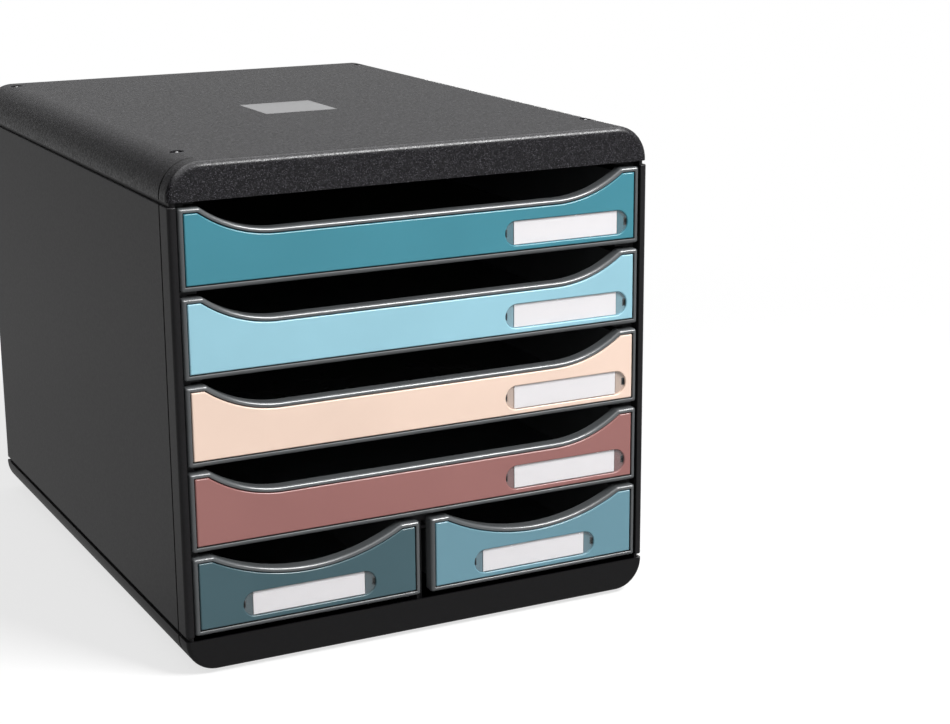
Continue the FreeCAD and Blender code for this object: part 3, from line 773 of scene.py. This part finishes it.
def node_group(name, inputs):
    """Empty geometry tree with named inputs, its input node and its output node."""
    tree = bpy.data.node_groups.new(name, "GeometryNodeTree")
    tree.interface.new_socket("Geometry", in_out="INPUT", socket_type="NodeSocketGeometry")
    for label, kind in inputs:
        tree.interface.new_socket(label, in_out="INPUT", socket_type=kind)
    tree.interface.new_socket("Geometry", in_out="OUTPUT", socket_type="NodeSocketGeometry")
    return tree, tree.nodes.new("NodeGroupInput"), tree.nodes.new("NodeGroupOutput")


def repeated(name, tree, template, values, material):
    """Run a geometry tree on a holder object and keep the result as a plain mesh."""
    piece = in_scene(name, bpy.data.meshes.new(name))
    step = piece.modifiers.new("repeat", "NODES")
    step.node_group = tree
    settings = {"Piece": template, "Finish": material, **values}
    for socket in tree.interface.items_tree:
        if socket.in_out == "INPUT" and socket.name in settings:
            step[socket.identifier] = settings[socket.name]
    settle(piece)
    bpy.data.objects.remove(template)
    return piece


def row_tree():
    """Geometry tree that repeats a piece at even steps."""
    tree, start, end = node_group("row_of_copies", (
        ("Piece", "NodeSocketObject"), ("Finish", "NodeSocketMaterial"),
        ("Count", "NodeSocketInt"), ("Step", "NodeSocketVector")))
    line = tree.nodes.new("GeometryNodeMeshLine")
    tree.links.new(start.outputs["Count"], line.inputs["Count"])
    tree.links.new(start.outputs["Step"], line.inputs["Offset"])
    finish_copies(tree, start, end, line.outputs["Mesh"])
    return tree


def corners_tree():
    """Geometry tree that puts a copy of a piece at each corner of a rectangle."""
    tree, start, end = node_group("corner_copies", (
        ("Piece", "NodeSocketObject"), ("Finish", "NodeSocketMaterial"),
        ("Width", "NodeSocketFloat"), ("Length", "NodeSocketFloat"),
        ("Middle", "NodeSocketVector")))
    nodes, links = tree.nodes, tree.links
    grid = nodes.new("GeometryNodeMeshGrid")
    grid.inputs["Vertices X"].default_value = 2
    grid.inputs["Vertices Y"].default_value = 2
    links.new(start.outputs["Width"], grid.inputs["Size X"])
    links.new(start.outputs["Length"], grid.inputs["Size Y"])
    move = nodes.new("GeometryNodeTransform")
    links.new(grid.outputs["Mesh"], move.inputs["Geometry"])
    links.new(start.outputs["Middle"], move.inputs["Translation"])
    finish_copies(tree, start, end, move.outputs["Geometry"])
    return tree


def finish_copies(tree, start, end, points):
    """Last steps of both trees: copies on the points, made real, with their material."""
    nodes, links = tree.nodes, tree.links
    model = nodes.new("GeometryNodeObjectInfo")
    links.new(start.outputs["Piece"], model.inputs["Object"])
    copies = nodes.new("GeometryNodeInstanceOnPoints")
    links.new(points, copies.inputs["Points"])
    links.new(model.outputs["Geometry"], copies.inputs["Instance"])
    real = nodes.new("GeometryNodeRealizeInstances")
    links.new(copies.outputs["Instances"], real.inputs["Geometry"])
    finish = nodes.new("GeometryNodeSetMaterial")
    links.new(real.outputs["Geometry"], finish.inputs["Geometry"])
    links.new(start.outputs["Finish"], finish.inputs["Material"])
    links.new(finish.outputs["Geometry"], end.inputs["Geometry"])


def runner_rails(black):
    """Runner rails of all rows on both side panels, with the stop blocks at their fronts."""
    root = half_width - PANEL_WALL - OVERLAP
    tray_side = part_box("drawer_1_tray")[1].x - TRAY_INSET
    lower_side = tray_side + RAIL_SIDE_PLAY
    upper_side = tray_side - UPPER_RAIL_COVER
    lower_top = TRAY_HEIGHT - FLANGE_WALL - RAIL_PLAY
    upper_bottom = front_height + UPPER_RAIL_DROP
    rail_front = front_face + FRONT_DEPTH + RAIL_PLAY
    rail_back = back_face - BACK_POST_DEPTH
    stop_back = front_face + STOP_BACK
    mesh = bmesh.new()
    for side in (-1, 1):
        for reach, back, low, high in (
                (lower_side, rail_back, lower_top - RAIL_WALL, lower_top),
                (upper_side, rail_back, upper_bottom, upper_bottom + RAIL_WALL),
                (lower_side, stop_back, TRAY_HEIGHT + STOP_PLAY, upper_bottom + OVERLAP)):
            near_x, far_x = sorted((side * reach, side * root))
            rounded_box((near_x, rail_front, low), (far_x, back, high), RAIL_EDGE, mesh)
    template = finish_mesh("rail_template", mesh)
    for vertex in template.data.vertices:
        vertex.co.z += first_row
    rails = repeated("runner_rails", row_tree(), template,
                     {"Count": ROW_COUNT, "Step": (0.0, 0.0, pitch)}, black)
    smooth(rails)
    dress(rails, black, "runner_board", "casing")


def shell_ribs(name, ceiling, bend, up, grained):
    """Cross ribs and lengthwise ribs on the inside of the cover or the base."""
    root, tip = ceiling + up * OVERLAP, ceiling - up * RIB_HEIGHT
    low, high = min(root, tip), max(root, tip)
    first = front_face + RIB_FIRST
    cross = bmesh.new()
    for near_x, far_x in ((RIB_MIDDLE, half_width - bend), (bend - half_width, -RIB_MIDDLE)):
        rounded_box((near_x, first, low), (far_x, first + RIB_WALL, high), SMALL_EDGE, cross)
    start, end = front_face + SHELL_WALL - OVERLAP, back_face - SHELL_WALL + OVERLAP
    long_rib = rounded_box((-RIB_SIDE - RIB_WALL / 2, start, low),
                           (-RIB_SIDE + RIB_WALL / 2, end, high), SMALL_EDGE)
    for part, mesh, count, step in (("cross", cross, RIB_ROWS, (0.0, RIB_STEP, 0.0)),
                                    ("long", long_rib, 2, (2 * RIB_SIDE, 0.0, 0.0))):
        ribs = repeated(f"{name}_{part}_ribs", row_tree(), finish_mesh("rib_template", mesh),
                        {"Count": count, "Step": step}, grained)
        smooth(ribs)
        dress(ribs, grained, "charcoal_casing", "casing")


def divider_slot(grained):
    """Pair of ribs in the base that hold the foot of the divider."""
    floor = base_bottom + SHELL_WALL
    near_x, far_x = DIVIDER_SLOT
    mesh = rounded_box((-far_x, front_face + DIVIDER_SETBACK, floor - OVERLAP),
                       (-near_x, back_face - BACK_POST_DEPTH, floor + SLOT_RIB_HEIGHT), SMALL_EDGE)
    slot = repeated("divider_slot", row_tree(), finish_mesh("slot_template", mesh),
                    {"Count": 2, "Step": (near_x + far_x, 0.0, 0.0)}, grained)
    smooth(slot)
    dress(slot, grained, "charcoal_casing", "casing")


def turned(profile):
    """Solid of revolution around Z from (radius, height) points, bottom to top."""
    return solid([level(circle(0.0, 0.0, radius), z) for radius, z in profile])


def at_corners(name, template, low, high, half, material, slot, *nodes):
    """Copies of a piece at the four corners of a node's box, half being its own half size."""
    values = {"Width": high.x - low.x - 2 * half[0], "Length": high.y - low.y - 2 * half[1],
              "Middle": ((low.x + high.x) / 2, (low.y + high.y) / 2, 0.0)}
    pieces = repeated(name, corners_tree(), template, values, material)
    smooth(pieces)
    dress(pieces, material, slot, "casing", *nodes)


def cover_pins(black, grained):
    """Four moulded pins with domed tips, sunk in the cover, and the bosses round them."""
    low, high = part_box("cover_pins")
    levels = rounded_levels(low.z, high.z - PIN_HEAD_DROP, PIN_FOOT_EDGE, PIN_HEAD_EDGE)
    profile = [(PIN_RADIUS - inset, z) for inset, z in levels]
    profile += [(PIN_TIP_RADIUS * share, cover_crown - PIN_TIP_SINK - PIN_TIP_DOME * drop)
                for share, drop in PIN_TIP_PROFILE]
    reach = (PIN_RADIUS, PIN_RADIUS)
    at_corners("pin_set", finish_mesh("pin_template", turned(profile)), low, high, reach,
               black, "pin_plastic", "cover_pins")
    half = BOSS_WIDTH / 2
    boss = finish_mesh("boss_template", rounded_box(
        (-half, -half, cover_seam + FIT_PLAY),
        (half, half, cover_crown - SHELL_WALL + OVERLAP), SMALL_EDGE))
    hole = circle(0.0, 0.0, PIN_RADIUS + FIT_PLAY)
    cut(boss, [level(hole, cover_seam - CUTTER_REACH), level(hole, cover_crown)])
    at_corners("boss_set", boss, low, high, reach, grained, "charcoal_casing")


def rubber_feet(rubber):
    """Four rubber pads under the base."""
    low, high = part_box("rubber_feet")
    half_x, half_y = FOOT_SIZE[0] / 2, FOOT_SIZE[1] / 2
    pad = finish_mesh("foot_template", rounded_box(
        (-half_x, -half_y, low.z), (half_x, half_y, high.z), FOOT_EDGE))
    at_corners("foot_set", pad, low, high, (half_x, half_y), rubber, "foot_rubber", "rubber_feet")


# ---- drawers

def tray_front(width, middle, bottom, centred):
    """Front of a drawer: rim, seat of the coloured plate, and the thin web behind it."""
    def at(inset, depth, side_inset=None, low=None):
        return on_front(front_outline(width, inset, side_inset, low), middle, bottom, depth)

    lip_sides = TRAY_INSET + TRAY_WALL
    lip_floor = TRAY_LIFT + TRAY_FLOOR
    loops = [at(RIM, PLATE_POCKET), at(RIM, SMALL_EDGE), at(RIM - SMALL_EDGE, 0.0)]
    loops += [at(inset, rise) for inset, rise in quarter_round(FRONT_EDGE)]
    loops += [at(0.0, FRONT_DEPTH - SMALL_EDGE), at(SMALL_EDGE, FRONT_DEPTH),
              at(RIM, FRONT_DEPTH, lip_sides, lip_floor),
              at(RIM, FRONT_DEPTH - LIP_DEPTH, lip_sides, lip_floor)]
    front = finish_mesh("front", solid(loops))
    for slot in window_slots(width, centred):
        cut(front, [on_front(slot, middle, bottom, depth)
                    for depth in (PLATE_POCKET - CUTTER_REACH, PLATE_POCKET + SLOT_DEPTH)])
    mesh = bmesh.new()
    mesh.from_mesh(front.data)
    bpy.data.objects.remove(front)
    return mesh


def window_span(width, centred):
    """Left and right ends of a label window, from the drawer's middle."""
    right = WINDOW_LENGTH / 2 if centred else width / 2 - WINDOW_SIDE
    return right - WINDOW_LENGTH, right


def in_window(spot, left, right, bottom):
    """Whether a spot lies within the reach of a label window."""
    return (left - 2 * SLOT_REACH < spot.x < right + 2 * SLOT_REACH
            and abs(spot.z - bottom - WINDOW_RISE) < WINDOW_HEIGHT / 2)


def window_slots(width, centred):
    """Outlines of the two slots at the ends of a label window."""
    left, right = window_span(width, centred)
    low, high = WINDOW_RISE - NOTCH_HEIGHT / 2, WINDOW_RISE + NOTCH_HEIGHT / 2
    for end, side in ((left, -1), (right, 1)):
        near_x, far_x = sorted((end + side * SLOT_REACH, end - side * NOTCH_DEPTH))
        yield [(near_x, low), (far_x, low), (far_x, high), (near_x, high)]


def tray_shell(width, middle, bottom, mesh):
    """Open box behind a drawer front, with its running flanges and stop lugs."""
    start = front_face + FRONT_DEPTH - TINY_EDGE
    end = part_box("drawer_1_tray")[1].y
    outer = width / 2 - TRAY_INSET
    flange = width / 2 - FLANGE_INSET
    flange_end = end - FLANGE_END

    def plan(side, shoulder, back, corner):
        """Open path from the front left, round the back, to the front right."""
        left = [(-shoulder, start), (-shoulder, flange_end), (-side, flange_end + SMALL_EDGE)]
        left += arc(-side + corner, back - corner, corner, 180, 90, CORNER_STEPS)
        return left + [(-x, y) for x, y in reversed(left)]

    def ring(inset, z, shoulder=0.0):
        side = outer - inset
        path = plan(side, max(side, shoulder), end - inset, TRAY_CORNER - inset)
        return [Vector((middle + x, y, bottom + z)) for x, y in path]

    edge = SMALL_EDGE
    under = TRAY_HEIGHT - FLANGE_WALL
    floor = TRAY_LIFT + TRAY_FLOOR
    rings = [ring(inset, TRAY_LIFT + rise) for inset, rise in quarter_round(TRAY_EDGE)]
    rings += [ring(0.0, under), ring(0.0, under, flange - edge), ring(0.0, under + edge, flange),
              ring(0.0, TRAY_HEIGHT - edge, flange), ring(edge, TRAY_HEIGHT, flange - edge),
              ring(TRAY_WALL - edge, TRAY_HEIGHT), ring(TRAY_WALL, TRAY_HEIGHT - edge)]
    rings += [ring(TRAY_WALL + rise, floor + inset) for inset, rise in quarter_round(TRAY_EDGE)]
    made = [[mesh.verts.new(point) for point in points] for points in rings]
    faces = []
    for row, following in zip(made, made[1:]):
        for here in range(len(row) - 1):
            faces.append(mesh.faces.new(
                (row[here], row[here + 1], following[here + 1], following[here])))
    faces.append(mesh.faces.new(list(reversed(made[0]))))
    faces.append(mesh.faces.new(made[-1]))
    faces.append(mesh.faces.new([row[0] for row in made] + [row[-1] for row in reversed(made)]))
    bmesh.ops.recalc_face_normals(mesh, faces=faces)

    lug_front = front_face + STOP_BACK + TRAVEL + RAIL_PLAY
    for side in (-1, 1):
        near_x, far_x = sorted((side * (width / 2 - LUG_INSET), side * flange))
        top = bottom + TRAY_HEIGHT
        rounded_box((middle + near_x, lug_front, top - edge),
                    (middle + far_x, lug_front + LUG_LENGTH, top + LUG_HEIGHT), RAIL_EDGE, mesh)


def front_plate(name, width, middle, bottom, centred):
    """Coloured plate with the pocket of its label window."""
    play = RIM + PLATE_PLAY
    face = PLATE_POCKET - PLATE_WALL

    def placed(points, depth):
        return on_front(points, middle, bottom, depth)

    piece = finish_mesh(name, solid([
        placed(front_outline(width, play + inset), depth)
        for inset, depth in rounded_levels(face, PLATE_POCKET, PLATE_EDGE, TINY_EDGE)]))
    left, right = window_span(width, centred)
    floor = face + WINDOW_POCKET
    flare = [(-inset, face + rise) for inset, rise in quarter_round(POCKET_EDGE)]
    pocket = [(-POCKET_EDGE, -WINDOW_POCKET)] + flare + [(0.0, floor)]
    cut(piece, [placed(stadium_outline(left, right, WINDOW_RISE, WINDOW_HEIGHT, inset), depth)
                for inset, depth in pocket])
    for slot in window_slots(width, centred):
        cut(piece, [placed(slot, floor - WINDOW_POCKET / 2),
                    placed(slot, PLATE_POCKET + WINDOW_POCKET)])
    half = WINDOW_HEIGHT / 2 - POCKET_EDGE
    low, high = WINDOW_RISE - half, WINDOW_RISE + half
    for near_x in (left + LABEL_END - LABEL_GROOVE, left + LABEL_END + LABEL_LENGTH):
        far_x = near_x + LABEL_GROOVE
        groove = [(near_x, low), (far_x, low), (far_x, high), (near_x, high)]
        cut(piece, [placed(groove, floor - LABEL_GROOVE), placed(groove, floor + LABEL_GROOVE)])
    smooth(piece)

    def depth_at(spot, facing):
        """Painted shade, full in the gap round the plate and about half on the floor of the pocket.
        """
        depth = spot.y - front_face
        if in_window(spot, left + middle, right + middle, bottom):
            return POCKET_SHADE * (depth > floor - WINDOW_PLAY)
        return depth > face + PLATE_EDGE

    mark_painted_shade(piece, depth_at)
    return piece


def window_pane(name, width, middle, bottom, centred):
    """Clear pane pressed into the plate's pocket."""
    left, right = window_span(width, centred)
    face = PLATE_POCKET - PLATE_WALL + WINDOW_SINK
    loops = []
    for inset, depth in rounded_levels(face, face + WINDOW_WALL, SMALL_EDGE, TINY_EDGE):
        points = pane_outline(left, right, WINDOW_RISE, WINDOW_HEIGHT, WINDOW_PLAY + inset)
        loops.append(on_front(points, middle, bottom, depth))
    piece = finish_mesh(name, solid(loops))
    smooth(piece)
    return piece


def drawer(number, slot, lacquer, anthracite, pane):
    """Tray, plate and window of one drawer. The last row's two are half as wide."""
    name = f"drawer_{number}"
    low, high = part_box(f"{name}_tray")
    width = high.x - low.x
    middle = (high.x + low.x) / 2
    centred = number >= ROW_COUNT
    mesh = tray_front(width, middle, low.z, centred)
    tray_shell(width, middle, low.z, mesh)
    tray = finish_mesh(f"{name}_body", mesh)
    smooth(tray)
    left, right = window_span(width, centred)

    def depth_at(spot, facing):
        """Painted shade in the seat of the plate and in the two slots behind the label window."""
        depth = spot.y - front_face
        if depth > PLATE_POCKET + WINDOW_PLAY:
            return (depth < FRONT_DEPTH - LIP_DEPTH
                    and in_window(spot, left + middle, right + middle, low.z))
        return abs(facing.y) < SIDEWAYS or depth > PLATE_POCKET - WINDOW_PLAY

    mark_painted_shade(tray, depth_at)
    dress(tray, anthracite, "anthracite_tray", name, f"{name}_tray")
    plate = front_plate(f"{name}_face", width, middle, low.z, centred)
    dress(plate, lacquer, slot, name, f"{name}_plate")
    glass = window_pane(f"{name}_pane", width, middle, low.z, centred)
    dress(glass, pane, "clear_plastic", name, f"{name}_window")


# ---- studio

CAMERA_AT = (-0.4407, -1.1025, 0.4193)
CAMERA_LOOKS_AT = (0.03006, -0.1775, 0.14668)
CAMERA_ROLL = math.radians(-0.394)
CAMERA_REACH = 50
LENS = 77.1
SENSOR = 36.0
# name, place, aim, size and watts of each lamp
LAMPS = (
    ("key", (0.75, -1.20, 1.38), (0.0, -0.17, 0.2), (0.75, 0.55), 34.6),
    ("fill", (-0.9, -1.4, 0.9), (0.0, -0.1, 0.12), (1.0, 1.0), 2.5),
    ("back", (1.1, 1.2, 0.14), (0.0, 0.1, 0.13), (0.8, 0.2), 3.0),
)
# surroundings: strength as a light, in reflections away from and towards the upper left, and
# in reflections from overhead
WORLD_LIGHT = 0.30
WORLD_GLOSS = (0.33, 0.02)
UP_AND_LEFT = (-0.75, 0.0, 0.75)
GLOSS_ENDS = (0.28, 0.38)
OVERHEAD_GLOSS = 2.4
OVERHEAD = (0.55, 0.75)
# floor: tone and glow near the unit for the camera, in reflections and as a light
FLOOR_RADIUS = 4.0
FLOOR_THICKNESS = 0.01
FLOOR_SHADE = 0.36
FLOOR_SHADE_MIRRORED = 0.1
FLOOR_SHADE_AS_LIGHT = 0.35
FLOOR_GLOW = 0.70
FLOOR_GLOSS = (0.12, 0.31)
FLOOR_GLOSS_ENDS = (-0.3, 0.05)
FLOOR_FADE = (0.3, 0.9)


def camera():
    """Camera with a small roll about its own line of sight."""
    data = bpy.data.cameras.new("camera")
    data.sensor_fit = "HORIZONTAL"
    data.sensor_width = SENSOR
    data.lens = LENS
    data.clip_end = CAMERA_REACH
    holder = in_scene("camera", data)
    ahead = (Vector(CAMERA_LOOKS_AT) - Vector(CAMERA_AT)).normalized()
    right = ahead.cross(Vector((0, 0, 1))).normalized()
    up = right.cross(ahead)
    right, up = (right * math.cos(CAMERA_ROLL) + up * math.sin(CAMERA_ROLL),
                 up * math.cos(CAMERA_ROLL) - right * math.sin(CAMERA_ROLL))
    turn = Matrix((right, up, -ahead)).transposed().to_4x4()
    holder.matrix_world = Matrix.Translation(Vector(CAMERA_AT)) @ turn
    bpy.context.scene.camera = holder


def lamp(name, place, target, size, watts):
    """Flat lamp that points at a target."""
    data = bpy.data.lights.new(name, "AREA")
    data.shape = "RECTANGLE"
    data.size, data.size_y = size
    data.energy = watts
    holder = in_scene(name, data)
    holder.visible_camera = False
    away = Vector(place) - Vector(target)
    turn = away.to_track_quat("Z", "Y").to_matrix().to_4x4()
    holder.matrix_world = Matrix.Translation(Vector(place)) @ turn


def white_surroundings():
    """White for the camera, dim as a light, and shaded in reflections.

    There the upper left is dark, overhead is bright and the rest is grey.
    """
    world = bpy.data.worlds.new("studio")
    bpy.context.scene.world = world
    world.use_nodes = True
    around = Nodes(world.node_tree)
    background = world.node_tree.nodes["Background"]
    background.inputs["Color"].default_value = (1, 1, 1, 1)
    glossy, direct = around.seen()
    way = around.add("ShaderNodeTexCoord").outputs["Generated"]
    slope = around.add("ShaderNodeVectorMath", operation="DOT_PRODUCT")
    slope.inputs[1].default_value = UP_AND_LEFT
    around.join(way, slope.inputs[0])
    low = around.spread(slope.outputs["Value"], *GLOSS_ENDS, *WORLD_GLOSS, curve="SMOOTHSTEP")
    parts = around.add("ShaderNodeSeparateXYZ")
    around.join(way, parts.inputs[0])
    overhead = around.spread(parts.outputs["Z"], *OVERHEAD, curve="SMOOTHSTEP")
    mirrored = around.choose(overhead, low, OVERHEAD_GLOSS)
    in_sight = around.choose(glossy, 1.0, mirrored)
    around.join(around.choose(direct, WORLD_LIGHT, in_sight), background.inputs["Strength"])


def white_floor():
    """Floor that shows white with the unit's soft shadow and gives little light back."""
    edge = circle(0.0, 0.0, FLOOR_RADIUS, 4 * ARC_STEPS)
    floor = finish_mesh("floor", solid([level(edge, -FLOOR_THICKNESS), level(edge, 0.0)]))
    finish = Finish("pale_floor", (1.0, 1.0, 1.0), 1.0, 0.0)
    finish.shader.inputs["Emission Color"].default_value = (1, 1, 1, 1)
    glossy, direct = finish.seen()
    distance = finish.add("ShaderNodeVectorMath", operation="LENGTH")
    finish.join(finish.place, distance.inputs[0])
    far = finish.spread(distance.outputs["Value"], *FLOOR_FADE, curve="SMOOTHSTEP")
    own = finish.choose(glossy, finish.choose(far, FLOOR_SHADE, 0.0), FLOOR_SHADE_MIRRORED)
    tone = finish.choose(direct, FLOOR_SHADE_AS_LIGHT, own)
    grey = finish.add("ShaderNodeCombineColor")
    for channel in range(3):
        finish.join(tone, grey.inputs[channel])
    finish.colour(grey.outputs[0])
    mirrored = finish.spread(finish.height("Y"), *FLOOR_GLOSS_ENDS, *FLOOR_GLOSS,
                             curve="SMOOTHSTEP")
    glow = finish.choose(glossy, finish.choose(far, FLOOR_GLOW, 1.0), mirrored)
    finish.join(finish.reckon("MULTIPLY", direct, glow), finish.shader.inputs["Emission Strength"])
    floor.data.materials.append(finish.material)


def studio():
    """Surroundings, floor and lamps."""
    white_surroundings()
    white_floor()
    for name, place, target, size, watts in LAMPS:
        lamp(name, place, target, size, watts)
    bpy.context.scene.view_settings.view_transform = "Standard"


# ---- the whole unit

PLATE_COLOURS = {
    1: ("plate_petrol", (0.060, 0.268, 0.342)),
    2: ("plate_sky", (0.342, 0.631, 0.745)),
    3: ("plate_cream", (0.956, 0.730, 0.604)),
    4: ("plate_rose", (0.366, 0.162, 0.150)),
    # painted shade: the slate and steel plates of the lowest row have the darker colours they show in
    # a cast shadow
    5: ("plate_slate", (0.065, 0.127, 0.150)),
    6: ("plate_steel", (0.162, 0.328, 0.402)),
}

camera()
# second colour of each charcoal: its painted sparkle highlights, strong on the cover and faint on the
# panels and base
grained = charcoal("grained_charcoal", (0.0078, 0.0074, 0.0088), (0.125, 0.120, 0.136),
                   grain_depth=0.00006, mottle=0.3, roughness=0.30, sheen_play=0.11)
plain = charcoal("plain_charcoal", (0.0105, 0.0100, 0.0110), (0.015, 0.0145, 0.016),
                 grain_depth=0.00001, mottle=0.15, roughness=0.38, sheen_play=0.017)
dark = charcoal("dark_charcoal", (0.0055, 0.0052, 0.0058), (0.008, 0.0075, 0.0085),
                grain_depth=0.00001, mottle=0.1, roughness=0.38, sheen_play=0.012)
anthracite = smooth_anthracite()
board = matt_board()
cover_and_base(grained, dark)
side_panel("left_panel", "left_side_panel", -1, plain)
side_panel("right_panel", "right_side_panel", 1, plain)
runner_rails(board)
cover_pins(pin_plastic(), grained)
shell_ribs("cover", cover_crown - SHELL_WALL, COVER_BEND, 1, grained)
shell_ribs("base", base_bottom + SHELL_WALL, BASE_BEND, -1, grained)
divider_slot(grained)
rubber_feet(foot_rubber())
pane = clear_pane()
for number, (slot, colour) in PLATE_COLOURS.items():
    drawer(number, slot, plate_lacquer(slot, colour), anthracite, pane)

# The other solids are shown as built, with a material.
paper = label_paper()
as_built = {"back_panel": plain, "shelf": board, "divider": board, "badge_plate": satin_badge()}
as_built.update({f"drawer_{number}_label": paper for number in PLATE_COLOURS})
for node, material in as_built.items():
    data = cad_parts[node].data
    data.materials.clear()
    data.materials.append(material)

studio()
